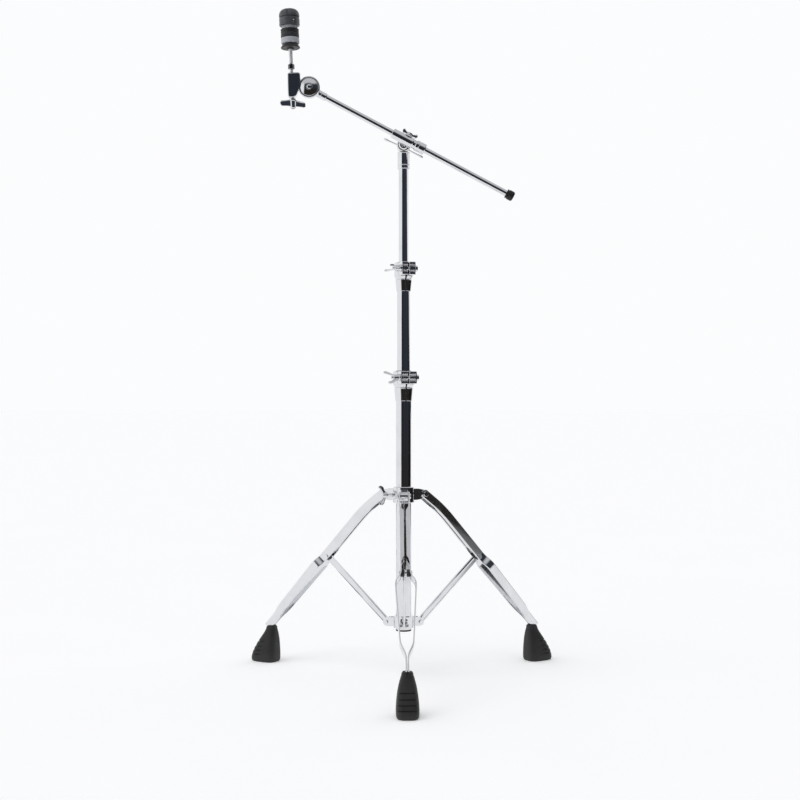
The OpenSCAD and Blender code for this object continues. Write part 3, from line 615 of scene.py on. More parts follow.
def leg_collar_piece():
    node = "leg_collar"
    lo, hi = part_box(node)
    z0, z1 = lo.z / MM, hi.z / MM
    pivot = anchor("front_leg_hinge")
    zc, reach = pivot.z / MM, math.hypot(pivot.x, pivot.y) / MM
    shape = Shape()
    ring = [(15.05, z0 + 0.4), (15.5, z0), (19.4, z0), (20.5, z0 + 1.1), (20.5, z1 - 1.1), (19.4, z1), (15.5, z1),
            (15.05, z1 - 0.4)]
    shape.add(*lathe(scaled(ring, 0.5), 96))
    nose = 8.5
    for name in ("front", "right", "left"):
        p = anchor(name + "_leg_hinge")
        turn = Matrix.Rotation(math.atan2(p.y, p.x), 4, "Z")
        outline = [(16.5, zc - 11.4), (27, zc - 11.4), (33, zc - 10.6)]
        outline += [(reach + nose * math.cos(a), zc + nose * math.sin(a))
                    for a in [math.radians(d) for d in range(-100, 101, 10)]]
        outline += [(33, zc + 10.6), (27, zc + 11.4), (16.5, zc + 11.4)]
        plate(shape, outline, 7.75, 1.0, turn)
    bolt = axis_of("leg_collar_bolt_turn")
    boss = frame_at(Vector((0, 0, zc * MM)), bolt, (0, 0, 1))
    shape.add(*lathe(scaled([(3.6, 16), (8.6, 16), (8.5, 24.3), (7.7, 25.5), (4.2, 25.5), (3.6, 25.0)], 0.4), 56), m=boss)
    return piece(node + "_fine", shape, node, CHROME_CAST, sharp=40)


leg_collar_piece()


# ---------------------------------------------------------------- legs

BEND_OUT, BEND_DOWN = 42 * MM, 31.8 * MM     # the leg's bend, from its upper pivot
STRIP_T = 2.4 * MM
STRIP_W = 17.5 * MM


def smooth_path(points, d, steps):
    """Polyline with rounded inner corners."""
    return soften(points, d, steps)


def sample(path, x):
    """Height or lateral place of a path of (x, value) at x."""
    for (x0, y0), (x1, y1) in zip(path, path[1:]):
        if x <= x1:
            t = 0 if x1 == x0 else (x - x0) / (x1 - x0)
            return y0 + (y1 - y0) * t
    return path[-1][1]


def leg_piece(side_name):
    node = side_name + "_leg"
    pivot = anchor(side_name + "_leg_hinge")
    turn = Matrix.Rotation(math.atan2(pivot.y, pivot.x), 4, "Z")
    back = turn.inverted()
    r0, z0 = (back @ pivot).x, pivot.z
    lo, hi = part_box(side_name + "_leg_rivet")
    rivet = back @ ((lo + hi) / 2)
    co = np.array([back @ v.co for v in frame["nodes"][node].data.vertices])
    end_r = co[:, 0].max()
    end_z = co[co[:, 0].argmax()][2]
    flare = np.abs(co[:, 1]).max() - STRIP_T / 2
    near = co[(co[:, 0] < r0 + 6 * MM)]
    fork_y = np.abs(near[:, 1]).max() - STRIP_T / 2
    bend = (r0 + BEND_OUT, z0 - BEND_DOWN)
    slope = Vector((end_r - bend[0], end_z - bend[1])).normalized()
    side = [(r0, z0), bend, (end_r + 1 * MM, end_z + 1 * MM)]
    side = soften(side, 26 * MM, 12)
    straight = fork_y - 0.6 * MM
    plan = [(r0 - 9 * MM, fork_y), (r0 + 14 * MM, fork_y), (r0 + 40 * MM, straight),
            (rivet.x + 9 * MM, straight), (rivet.x + 19 * MM, flare), (end_r - 37 * MM, 11.8 * MM),
            (end_r - 22 * MM, 2.1 * MM), (end_r + 4 * MM, 2.1 * MM)]
    plan = soften(plan, 6 * MM, 8)
    side_tan0 = Vector((side[1][0] - side[0][0], side[1][1] - side[0][1])).normalized()
    shape = Shape()
    stations = []
    total = 0.0
    lengths = [0.0]
    for a, b in zip(side, side[1:]):
        total += math.hypot(b[0] - a[0], b[1] - a[1])
        lengths.append(total)
    count = 150
    start = -STRIP_W / 2
    for k in range(count + 1):
        s = start + (total - start) * k / count
        if s < 0:
            p = Vector(side[0]) + side_tan0 * s
            tan = side_tan0
        else:
            i = next((j for j in range(len(side) - 1) if lengths[j + 1] >= s), len(side) - 2)
            t = (s - lengths[i]) / max(lengths[i + 1] - lengths[i], 1e-9)
            a, b = Vector(side[i]), Vector(side[i + 1])
            p = a + (b - a) * t
            tan = (b - a).normalized()
        stations.append((s, p, tan))
    # ease the tangents so that the bend reads as one smooth sweep
    tans = [st[2] for st in stations]
    for _ in range(4):
        tans = [(tans[max(i - 1, 0)] + tans[i] * 2 + tans[min(i + 1, count)]).normalized() for i in range(count + 1)]
    flange_from, flange_to = 34 * MM, math.hypot(rivet.x - bend[0], rivet.z - bend[1]) + 34 * MM
    for mirror in (1, -1):
        rings = []
        for (s, p, _), tan in zip(stations, tans):
            y = sample(plan, p.x)
            ahead = sample(plan, p.x + 1.5 * MM) - sample(plan, p.x - 1.5 * MM)
            slant = ahead / (3 * MM)
            along3 = Vector((tan.x, slant * tan.x, tan.y)).normalized()
            up = Vector((-tan.y, 0, tan.x))
            out = Vector((0, 1, 0)) - along3 * along3.y
            out.normalize()
            grow = min(max((s - flange_from) / (16 * MM), 0), 1) * min(max((flange_to - s) / (14 * MM), 0), 1)
            grow = grow * grow * (3 - 2 * grow)
            depth = 0.25 * MM + 5.0 * MM * grow
            width = STRIP_W / 2
            if s < 0:
                width = math.sqrt(max((STRIP_W / 2) ** 2 - s * s, (0.6 * MM) ** 2))
            ring = channel_section(width, depth, STRIP_T)
            rings.append([turn @ Vector((p.x + up.x * u + out.x * v,
                                         mirror * (y + up.y * u + out.y * v),
                                         p.y + up.z * u + out.z * v)) for u, v in ring])
        if mirror < 0:
            rings = [list(reversed(r)) for r in rings]
        shape.add(*loft(rings))
    return piece(node + "_strips", shape, node, CHROME_STRIP, sharp=50)


def channel_section(half_w, depth, t):
    """A U section: web of half width half_w, flanges of the given depth towards -v."""
    r = min(1.9 * MM, half_w * 0.45)
    inner = max(r - t * 0.8, 0.25 * MM)
    pts = []
    for k in range(5):
        a = math.pi / 2 * k / 4
        pts.append((half_w - r + r * math.cos(a), t / 2 - r + r * math.sin(a)))
    for k in range(5):
        a = math.pi / 2 * (1 + k / 4)
        pts.append((-half_w + r + r * math.cos(a), t / 2 - r + r * math.sin(a)))
    low = -t / 2 - depth
    lip = min(t * 0.75, half_w * 0.6)
    pts.append((-half_w, min(low, t / 2 - r - 0.05 * MM)))
    pts.append((-half_w + lip, min(low, -t / 2 - 0.02 * MM)))
    for k in range(4):
        a = math.pi / 2 * (2 - k / 3)
        pts.append((-half_w + lip + inner + inner * math.cos(a), -t / 2 - inner + inner * math.sin(a)))
    for k in range(4):
        a = math.pi / 2 * (1 - k / 3)
        pts.append((half_w - lip - inner + inner * math.cos(a), -t / 2 - inner + inner * math.sin(a)))
    pts.append((half_w - lip, min(low, -t / 2 - 0.02 * MM)))
    pts.append((half_w, min(low, t / 2 - r - 0.05 * MM)))
    return pts


# ---------------------------------------------------------------- feet

def foot_piece(side_name):
    node = side_name + "_foot"
    pivot = anchor(side_name + "_leg_hinge")
    turn = Matrix.Rotation(math.atan2(pivot.y, pivot.x), 4, "Z")
    back = turn.inverted()
    co = np.array([back @ v.co for v in frame["nodes"][node].data.vertices])
    r_in, r_out = co[:, 0].min(), co[:, 0].max()
    top = co[:, 2].max()
    half = np.abs(co[:, 1]).max()
    # height share, half width share, inner edge, outer edge, squareness
    rows = [(0.0, 0.84, 0.08, 0.93, 3.2), (0.012, 0.92, 0.03, 0.975, 3.4), (0.04, 0.97, 0.01, 0.995, 3.6),
            (0.09, 0.995, 0.0, 1.0, 3.8), (0.2, 1.0, 0.0, 0.975, 3.8), (0.35, 0.965, 0.0, 0.89, 3.6),
            (0.5, 0.9, 0.005, 0.775, 3.4), (0.62, 0.83, 0.01, 0.67, 3.2), (0.72, 0.745, 0.02, 0.58, 3.0),
            (0.80, 0.665, 0.03, 0.51, 2.8), (0.87, 0.585, 0.045, 0.46, 2.6), (0.93, 0.51, 0.06, 0.43, 2.6),
            (0.965, 0.47, 0.065, 0.415, 2.6), (0.985, 0.45, 0.075, 0.40, 2.6), (1.0, 0.39, 0.10, 0.37, 2.6)]
    shares = [r[0] for r in rows]
    cols = [np.array([r[i] for r in rows]) for i in range(1, 5)]
    levels = sorted(set([0, 0.012, 0.04, 0.985, 1.0] + [k / 150 for k in range(2, 149)]))
    grooves = [0.21, 0.325, 0.44, 0.57]
    n = 88
    rings = []
    for level in levels:
        wide, inn, out, power = [float(np.interp(level, shares, c)) for c in cols]
        cx = r_in + (r_out - r_in) * (inn + out) / 2
        half_len = (r_out - r_in) * (out - inn) / 2
        dip = 0.0
        for gz in grooves:
            d = abs(level - gz) / 0.014
            dip = max(dip, 1 - d ** 4 if d < 1 else 0)
        lip = math.exp(-((level - 0.955) / 0.018) ** 2) * 0.5 * MM
        ring = []
        for c, s in squircle(1, 1, n, power):
            outward = min(max((c + 0.35) / 0.7, 0), 1)
            cut = 1.9 * MM * dip * outward * outward * (3 - 2 * outward)
            a = half_len - cut + lip
            b = half * wide - cut * 0.9 + lip
            ring.append(turn @ Vector((cx + c * a, s * b, level * top)))
        rings.append(ring)
    shape = Shape().add(*loft(rings))
    return piece(node + "_boot", shape, node, FOOT_RUBBER, sharp=60, soft=True)


for name in ("front", "right", "left"):
    leg_piece(name)
    foot_piece(name)


# ---------------------------------------------------------------- boom

BOOM_AXIS = axis_of("boom_slide")
BOOM_UP = Vector((0, 1, 0)).cross(BOOM_AXIS) * -1
if BOOM_UP.z < 0:
    BOOM_UP = -BOOM_UP
BOOM_ORIGIN = anchor("boom_turn")


def boom_frame(t):
    """Frame with Z along the rod, downhill, at distance t from the tube's axis."""
    return frame_at(BOOM_ORIGIN + BOOM_AXIS * t, BOOM_AXIS, BOOM_UP)


def boom_rod_piece():
    t0, t1, r, _ = spread("boom_rod", BOOM_ORIGIN, BOOM_AXIS)
    profile = [(0, 0), (r - 0.8 * MM, 0), (r, 0.8 * MM)]
    profile += [(r, (t1 - t0) * k / 8) for k in range(1, 8)]
    profile += [(r, t1 - t0 - 0.8 * MM), (r - 0.8 * MM, t1 - t0), (0, t1 - t0)]
    shape = Shape().add(*lathe(soften(profile, 0.3 * MM, 2), 72, closed=False), m=boom_frame(t0))
    return piece("boom_rod_fine", shape, "boom_rod", CHROME_TUBE)


def end_cap_piece():
    t0, t1, r, _ = spread("boom_end_cap", BOOM_ORIGIN, BOOM_AXIS)
    length = t1 - t0
    rod_r = spread("boom_rod", BOOM_ORIGIN, BOOM_AXIS)[2]
    profile = [(rod_r, 2 * MM), (rod_r + 0.1 * MM, 0), (r - 1.4 * MM, 0), (r - 0.5 * MM, 0.8 * MM), (r - 0.4 * MM, 2.4 * MM),
               (r - 1.3 * MM, 3.0 * MM), (r - 1.3 * MM, 3.8 * MM), (r, 4.6 * MM), (r, length - 4 * MM),
               (r - 0.8 * MM, length - 1.6 * MM), (r - 3 * MM, length - 0.25 * MM), (0, length)]
    shape = Shape().add(*lathe(soften(profile, 0.5 * MM, 3), 64, closed=False), m=boom_frame(t0))
    return piece("boom_end_cap_fine", shape, "boom_end_cap", CAP_RUBBER)


boom_rod_piece()
end_cap_piece()

def disc_about_y(shape, centre, profile, n=96):
    """A turned disc about the Y axis: profile of (radius, y) in millimetres."""
    m = frame_at(centre, (0, 1, 0), (1, 0, 0))
    shape.add(*lathe([(r * MM, y * MM) for r, y in profile], n, closed=True), m=m)


def tilter_base_piece():
    lo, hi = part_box("tilter_base")
    pivot = anchor("boom_tilt")
    z0, disc_r = lo.z / MM, (hi.z - pivot.z) / MM
    back, sleeve_h = hi.y / MM, 30.0
    shape = Shape()
    bore = 9.57
    sleeve = [(bore, z0 + 0.4), (10.2, z0), (11.4, z0), (12.1, z0 + 0.8), (12.0, z0 + 6.2), (11.6, z0 + 6.8), (11.6, z0 + 7.4),
              (12.0, z0 + 8.0), (11.75, z0 + sleeve_h - 0.3), (12.3, z0 + sleeve_h), (12.6, z0 + sleeve_h + 0.5),
              (12.6, z0 + sleeve_h + 1.2), (12.2, z0 + sleeve_h + 1.6), (8.6, z0 + sleeve_h + 1.6),
              (8.6, z0 + 16.5), (bore, z0 + 16)]
    shape.add(*lathe(scaled(sleeve, 0.25), 96))
    disc = soften([(4.05, -4), (disc_r - 0.7, -4), (disc_r, -3.3), (disc_r, 1.6), (disc_r - 1.1, 2.6), (disc_r - 1.1, 5.2),
                   (disc_r, 6.2), (disc_r, back - 1.6), (disc_r - 1.6, back), (4.05, back)], 0.35, 3, closed=True)
    disc_about_y(shape, (0, 0, pivot.z), disc)
    rings = []
    for k in range(9):
        z = z0 + sleeve_h - 2 + 12.0 * k / 8
        grow = 0.6 * (k / 8) ** 2
        rings.append([Vector(((x * (9.2 + grow)) * MM, (1.0 + y * 5.0) * MM, z * MM)) for x, y in squircle(1, 1, 32, 3.2)])
    shape.add(*loft(rings))
    return piece("tilter_base_fine", shape, "tilter_base", CHROME_CAST, sharp=40)


def boom_holder_piece():
    pivot = anchor("boom_tilt")
    bolt = anchor("boom_bolt_turn")
    lo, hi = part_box("boom_holder")
    shape = Shape()
    bore = 7.25
    tube = [(bore, -23.6), (8.0, -24), (8.8, -24), (9.6, -23.2), (9.6, 18.6), (8.9, 19.6), (8.7, 20.4), (8.7, 25.2), (9.4, 26.0),
            (10.0, 26.0), (10.6, 26.7), (10.6, 31.5), (10.2, 32.0), (10.2, 32.8), (10.6, 33.3), (10.6, 44.8), (9.4, 46),
            (7.9, 46), (bore, 45.6)]
    shape.add(*lathe(scaled(tube, 0.3), 96), m=boom_frame(0))
    foot = bolt - BOOM_UP * (bolt - BOOM_ORIGIN).dot(BOOM_UP)
    boss = frame_at(foot, BOOM_UP, BOOM_AXIS)
    shape.add(*lathe(scaled([(3.6, 8), (8.6, 8), (7.9, 9.4), (7.5, 9.9), (7.0, 10.5), (4.0, 10.5), (3.6, 10.2)], 0.25), 56), m=boss)
    r = 13.0
    disc = soften([(4.02, -12.4), (5.0, -14.9), (7.4, -14.6), (8.8, -13.4), (9.8, -12.9), (r - 1.4, -12.4), (r, -10.8), (r, -6.6),
                   (r - 0.9, -6.0), (r - 0.9, -5.4), (r, -4.9), (r - 0.2, -4.15), (4.02, -4.15)], 0.3, 3, closed=True)
    disc_about_y(shape, (0, 0, pivot.z), disc)
    m = boom_frame(0)
    rings = []
    # web between the tube and the disc
    for k in range(7):
        y = -8.0 - 5.5 * k / 6
        rings.append([Vector((x * 11.5 * MM, y * MM, pivot.z + (6.0 + z * 5.6) * MM)) for x, z in squircle(1, 1, 28, 3.0)])
    shape.add(*loft(rings))
    return piece("boom_holder_fine", shape, "boom_holder", CHROME_CAST, sharp=40)


def ferrule_piece():
    t0, t1, r, _ = spread("boom_ferrule", BOOM_ORIGIN, BOOM_AXIS)
    length, r, bore = (t1 - t0) / MM, r / MM, 6.02
    profile = [(bore, 0.3), (bore + 0.4, 0), (r - 0.4, 0), (r, 0.5), (r, 4.2), (r - 0.35, 4.6), (r - 0.35, 5.2), (r, 5.6),
               (r, length - 1.2), (r - 0.9, length), (bore, length)]
    shape = Shape().add(*lathe(scaled(profile, 0.2), 72), m=boom_frame(t0))
    return piece("boom_ferrule_fine", shape, "boom_ferrule", CHROME_SMALL)


def rod_ratchet_piece():
    centre = anchor("seat_tilt")
    _, t1, _, _ = spread("rod_ratchet", BOOM_ORIGIN, BOOM_AXIS)
    shape = Shape()
    r = 19.6
    disc = soften([(4.05, 0.12), (r - 0.6, 0.12), (r, 0.8), (r, 7.2), (r - 2.2, 9.5), (4.05, 9.5)], 0.5, 4, closed=True)
    disc_about_y(shape, centre, disc)
    start = t1 / MM - 17
    profile = [(6.02, start + 2), (5.5, start), (6.9, start), (7.3, start + 0.5), (7.3, start + 16.4), (7.0, start + 17),
               (6.02, start + 17)]
    m = boom_frame(0)
    verts, faces = lathe(scaled(profile, 0.25), 72)
    # the socket's front stays behind the face where the two halves meet
    cut = []
    for v in verts:
        q = m @ Vector(v)
        near = (Vector((q.x, 0, q.z)) - Vector((centre.x, 0, centre.z))).length
        if near < 21.2 * MM and q.y < centre.y + 0.12 * MM:
            q.y = centre.y + 0.12 * MM
        cut.append(tuple(q))
    shape.add(cut, faces)
    return piece("rod_ratchet_fine", shape, "rod_ratchet", CHROME_CAST, sharp=40)


def seat_arm_piece():
    centre = anchor("seat_tilt")
    lo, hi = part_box("seat_arm")
    shape = Shape()
    r = 20.8
    front = (lo.y - centre.y) / MM
    boss = [(4.6 * math.sin(a), front + 1.9 * (1 - math.cos(a))) for a in [math.pi / 2 * k / 6 for k in range(7)]]
    crown = [(6.2 + 10.4 * k / 8, front + 1.2 + 3.6 * (k / 8) ** 1.35) for k in range(9)]
    disc = boss + [(5.2, front + 2.6)] + crown
    disc += [(17.2, front + 5.7), (17.9, front + 5.6), (18.3, front + 4.6), (19.6, front + 4.8), (r, front + 6.0), (r, -2.6),
             (r - 0.8, -2.2), (r - 0.8, -1.5), (r, -1.1), (r - 0.3, -0.12), (4.05, -0.12), (4.05, -7.6), (0.0, -7.6)]
    m = frame_at(centre, (0, 1, 0), (1, 0, 0))
    shape.add(*lathe(scaled(disc, 0.35, closed=False), 96, closed=False), m=m)
    x0, z0, z1 = lo.x / MM, lo.z / MM, hi.z / MM
    outline = [(-213, z0), (-209.5, z0 + 0.2), (-206.4, z0 + 2.5), (-203.6, z0 + 7), (-200.6, z0 + 15), (-198.0, z0 + 24),
               (-197.0, z0 + 33), (-197.8, z1 - 2.4), (-200.6, z1 - 0.2), (-211, z1 - 0.7), (-220.4, z1 - 1.4),
               (x0 + 0.4, z1 - 4.0), (x0 + 0.8, z0 + 20), (-221.4, z0 + 3.0), (-219, z0)]
    outline = soften(outline, 1.2, 3, closed=True)
    side = Matrix.Translation((0, centre.y, 0))
    plate(shape, outline, 9.0, 2.4, side, steps=6)
    return piece("seat_arm_fine", shape, "seat_arm", CHROME_CAST, sharp=44)


tilter_base_piece()
boom_holder_piece()
ferrule_piece()
rod_ratchet_piece()
seat_arm_piece()


# ---------------------------------------------------------------- cymbal post and what stands on it

POST_AXIS = axis_of("topper_lift")
POST_ORIGIN = anchor("post_nut_turn")
POST = frame_at(POST_ORIGIN, POST_AXIS, (1, 0, 0))


def thread(shape, r, z0, z1, pitch, depth, m, n=28, per=6):
    """A helical thread as one skin, closed at both ends, fading out at the tips."""
    rows = int((z1 - z0) / pitch * per)
    rings = []
    for i in range(rows + 1):
        z = z0 + (z1 - z0) * i / rows
        fade = min(1, (z - z0) / pitch, (z1 - z) / pitch)
        ring = []
        for k in range(n):
            phase = (z / pitch - k / n) % 1
            cut = abs(2 * phase - 1)
            rr = r - depth * (1 - fade) - depth * fade * cut
            a = TAU * k / n
            ring.append(m @ Vector((rr * math.cos(a), rr * math.sin(a), z)))
        rings.append(ring)
    shape.add(*loft(rings))


def post_piece():
    t0, t1, r, _ = spread("cymbal_post", POST_ORIGIN, POST_AXIS)
    shape = Shape()
    thread(shape, r, t0, t1, 1.25 * MM, 0.55 * MM, POST)
    return piece("cymbal_post_threaded", shape, "cymbal_post", CHROME_SMALL, sharp=80, soft=True)


def post_turned(name, node, mat, profile, n=72, closed=True, round_by=0.4):
    pts = soften([(r * MM, z * MM) for r, z in profile], round_by * MM, 3, closed=closed)
    shape = Shape().add(*lathe(pts, n, closed=closed), m=POST)
    return piece(name, shape, node, mat)


def heights(node):
    t0, t1, r, _ = spread(node, POST_ORIGIN, POST_AXIS)
    return t0 / MM, t1 / MM, r / MM


post_piece()
POST_R = heights("cymbal_post")[2]

# seat cup: flared skirt under the felts
z0, z1, r = heights("seat_cup")
post_turned("seat_cup_fine", "seat_cup", NYLON,
            [(POST_R, z0), (7, z0), (7, z0 + 1.4), (9, z0 + 1.9), (r - 0.6, z0 + 2.1), (r, z0 + 2.9), (r - 0.3, z0 + 4.3),
             (15.6, z0 + 7.4), (15.0, z0 + 9), (15.2, z1), (POST_R, z1)])


def felt_piece(node, mat, layers, seed):
    """A pressed felt disc with a crowned, slightly uneven edge and a soft top and bottom."""
    z0, z1, r = heights(node)
    bore = POST_R + 0.25
    h = z1 - z0
    mid = (z0 + z1) / 2
    profile = [(bore, z0 + 0.2)]
    profile += [(bore + (r - 3 - bore) * k / 6, z0 + 0.03) for k in range(1, 7)]
    for k in range(15):
        a = -math.pi / 2 + math.pi * k / 14
        bulge = abs(math.cos(a)) ** 0.42
        groove = 0.0
        for edge in layers:
            d = (mid + h / 2 * math.sin(a) - (z0 + h * edge)) / 0.5
            groove += 0.55 * math.exp(-d * d)
        profile.append((r - 3 + 3 * bulge - groove, mid + h / 2 * math.copysign(abs(math.sin(a)) ** 0.8, math.sin(a))))
    profile += [(bore + (r - 3 - bore) * k / 6, z1 - 0.03) for k in range(6, 0, -1)]
    profile += [(bore, z1 - 0.2)]
    verts, faces = lathe([(a * MM, b * MM) for a, b in profile], 120)
    moved = []
    for v in verts:
        p = Vector(v)
        lump = noise.noise(p * 230 + Vector((seed, 0, 0))) * 0.28 * MM + noise.noise(p * 700) * 0.12 * MM
        flat = Vector((p.x, p.y, 0))
        inside = min(max((flat.length / MM - bore - 1) / 6, 0), 1)
        p += flat.normalized() * (lump * inside - 0.15 * MM * inside)
        moved.append(tuple(p))
    shape = Shape().add(moved, faces, m=POST)
    return piece(node + "_soft", shape, node, mat, sharp=80, soft=True)


def fuzz(node, mat, count, seed):
    """Loose wool fibres: short curved slivers standing out of a felt's edge."""
    z0, z1, r = heights(node)
    rng = random.Random(seed)
    shape = Shape()
    for _ in range(count):
        a = rng.random() * TAU
        z = rng.uniform(z0 + 0.5, z1 - 0.5)
        out = Vector((math.cos(a), math.sin(a), 0))
        base = Vector((0, 0, z)) + out * (r - 0.75)
        lean = Vector((rng.uniform(-1, 1), rng.uniform(-1, 1), rng.uniform(-0.8, 0.8)))
        length = rng.uniform(0.6, 1.25)
        w = 0.03
        side = out.cross(lean).normalized() * w
        up = out.cross(side).normalized() * w
        rings = []
        for k in range(4):
            t = k / 3
            c = base + out * (length * t * (1 - 0.35 * t)) + lean * (0.55 * length * t * t)
            s = 1 - 0.75 * t
            rings.append([(c + side * s) * MM, (c - side * s * 0.5 + up * s) * MM, (c - side * s * 0.5 - up * s) * MM])
        shape.add(*loft(rings), m=POST)
    return piece(node + "_fuzz", shape, node, mat, stands_for=False, sharp=80, soft=True)


felt_piece("lower_felt", GREY_FELT, [0.5], 3.0)
fuzz("lower_felt", GREY_FELT, 520, 11)
felt_piece("upper_felt", CHARCOAL_FELT, [0.5], 9.0)
fuzz("upper_felt", CHARCOAL_FELT, 420, 12)

z0, z1, r = heights("felt_cup")
post_turned("felt_cup_fine", "felt_cup", NYLON,
            [(POST_R + 0.1, z0), (16.6, z0), (17.1, z0 + 1), (17.4, z0 + 3), (16.8, z0 + 3.6), (17.0, z0 + 4.4), (r, z1 - 1.2),
             (r - 0.3, z1), (POST_R + 0.1, z1)], round_by=0.3)

z0, z1, r = heights("topper_washer")
post_turned("topper_washer_fine", "topper_washer", WASHER_GREY,
            [(POST_R + 0.1, z0), (r - 0.3, z0), (r, z0 + 0.8), (r, z0 + 2.2), (r - 0.5, z0 + 2.9), (r - 0.5, z0 + 3.3),
             (r, z0 + 3.9), (r, z1 - 0.6), (r - 0.4, z1), (POST_R + 0.1, z1)], round_by=0.3)


def button_piece(name):
    """A domed metal button that stands a little out of the cap."""
    node = "release_button_" + name
    inward = axis_of("button_" + name + "_press")
    lo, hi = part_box(node)
    centre = (lo + hi) / 2
    t0, t1, _, _ = spread(node, centre, -inward)
    length = (t1 - t0) / MM
    m = frame_at(centre - inward * t0, -inward, POST_AXIS)
    profile = [(0, 0), (2.6, 0), (2.9, 0.3), (2.9, length - 1.6)]
    profile += [(2.9 * math.cos(a), length - 1.6 + 1.6 * math.sin(a)) for a in [math.pi / 2 * k / 8 for k in range(1, 8)]]
    profile += [(0, length)]
    shape = Shape().add(*lathe(scaled(profile), 48, closed=False), m=m)
    return piece(node + "_fine", shape, node, CHROME_SMALL)


for name in ("left", "front", "back"):
    button_piece(name)


def topper_pieces():
    z0, z1, r = heights("topper_body")
    button = JOINTS["button_left_press"]
    centres = []
    for name in ("left", "front", "back"):
        lo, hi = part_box("release_button_" + name)
        local = POST.inverted() @ ((lo + hi) / 2)
        centres.append((math.atan2(local.y, local.x), local.z / MM))
    hole = 3.15
    n = 160
    profile = soften([(POST_R + 0.1, z0), (r - 1, z0), (r - 0.15, z0 + 0.8), (r, z0 + 2.2), (r, z1 - 1.6), (r - 0.4, z1 - 0.5),
                      (r - 1.4, z1), (POST_R + 0.1, z1)], 0.35, 3, closed=True)
    dense = []
    for a, b in zip(profile, profile[1:] + profile[:1]):
        dense.append(a)
        steps = int(abs(a[1] - b[1]) / 0.45)
        dense += [(a[0] + (b[0] - a[0]) * k / (steps + 1), a[1] + (b[1] - a[1]) * k / (steps + 1))
                  for k in range(1, steps + 1)]
    verts, faces = lathe([(a * MM, b * MM) for a, b in dense], n)
    out = []
    for x, y, z in verts:
        rr = math.hypot(x, y) / MM
        a = math.atan2(y, x)
        if rr > r - 3:
            pull = 0.0
            for ca, cz in centres:
                d = (a - ca + math.pi) % TAU - math.pi
                dist = math.hypot(d * r, z / MM - cz)
                pull = max(pull, 1 - min(max((dist - hole) / 0.5, 0), 1))
            # three shallow round pockets where the buttons sit
            k = (rr - 3.2 * pull) / rr
            x, y = x * k, y * k
        out.append((x, y, z))
    shape = Shape().add(out, faces, m=POST)
    piece("topper_body_fine", shape, "topper_body", TOPPER_PLASTIC, sharp=45)

    z0, z1, r = heights("topper_dome")
    h = z1 - z0
    profile = [(POST_R + 0.1, z0), (r - 2, z0), (r - 2, z0 + 1.7), (r - 0.5, z0 + 2), (r, z0 + 2.6), (r, z0 + 4.6)]
    for k in range(1, 15):
        a = math.pi / 2 * k / 14
        profile.append((9.2 + (r - 9.2) * math.cos(a) ** 0.9 if k < 14 else 9.2, z0 + 4.8 + (h - 5.3) * math.sin(a)))
    profile += [(8.0, z1), (5.6, z1 - 0.1), (5.1, z1 - 1.2), (0, z1 - 1.4)]
    dense = []
    for a, b in zip(profile, profile[1:]):
        dense.append(a)
        steps = int(math.hypot(a[0] - b[0], a[1] - b[1]) / 0.6)
        dense += [(a[0] + (b[0] - a[0]) * k / (steps + 1), a[1] + (b[1] - a[1]) * k / (steps + 1))
                  for k in range(1, steps + 1)]
    dense.append(profile[-1])
    verts, faces = lathe([(a * MM, b * MM) for a, b in dense], 192, closed=False)
    out = []
    for x, y, z in verts:
        xx, yy, zz = x / MM, y / MM, z / MM
        if yy < -(r - 9.5) and zz > z0 + 4.8:
            side = abs(xx + 2.0)
            pull = 1 - min(max((side - 1.3) / 0.35, 0), 1)
            deep = min(max((zz - z0 - 4.8) / 0.8, 0), 1) * min(max((-(yy) - (r - 9.5)) / 1.2, 0), 1)
            y += 2.6 * MM * pull * deep
        out.append((x, y, z))
    shape = Shape().add(out, faces, m=POST)
    piece("topper_dome_fine", shape, "topper_dome", TOPPER_PLASTIC, sharp=45)


topper_pieces()

# wing nut under the arm: its hub hangs down the post
origin, axis = POST_ORIGIN, -POST_AXIS
t0, t1, r, far = spread("post_wing_nut", origin, axis)
m = frame_at(origin + axis * t0, axis, far)
shape = Shape()
wing(shape, 6.5 * MM, t1 - t0, r, (t1 - t0) * 0.86, hub_open=4.05 * MM)
shape.v = [tuple(m @ Vector(p)) for p in shape.v]
piece("post_wing_nut_fine", shape, "post_wing_nut", CHROME_CAST)


# ---------------------------------------------------------------- any node that still shows as CAD

FALLBACK = {"chrome": CHROME_SMALL, "dark_steel": DARK_STEEL, "black_rubber": FOOT_RUBBER, "black_plastic": NYLON,
            "grey_felt": GREY_FELT, "charcoal_felt": CHARCOAL_FELT}
for node, ob in frame["nodes"].items():
    if not ob.hide_render:
        print("plain CAD node still shows:", node)
        ob.data.materials.clear()
        ob.data.materials.append(FALLBACK[SLOT_OF[node]])


# ---------------------------------------------------------------- studio

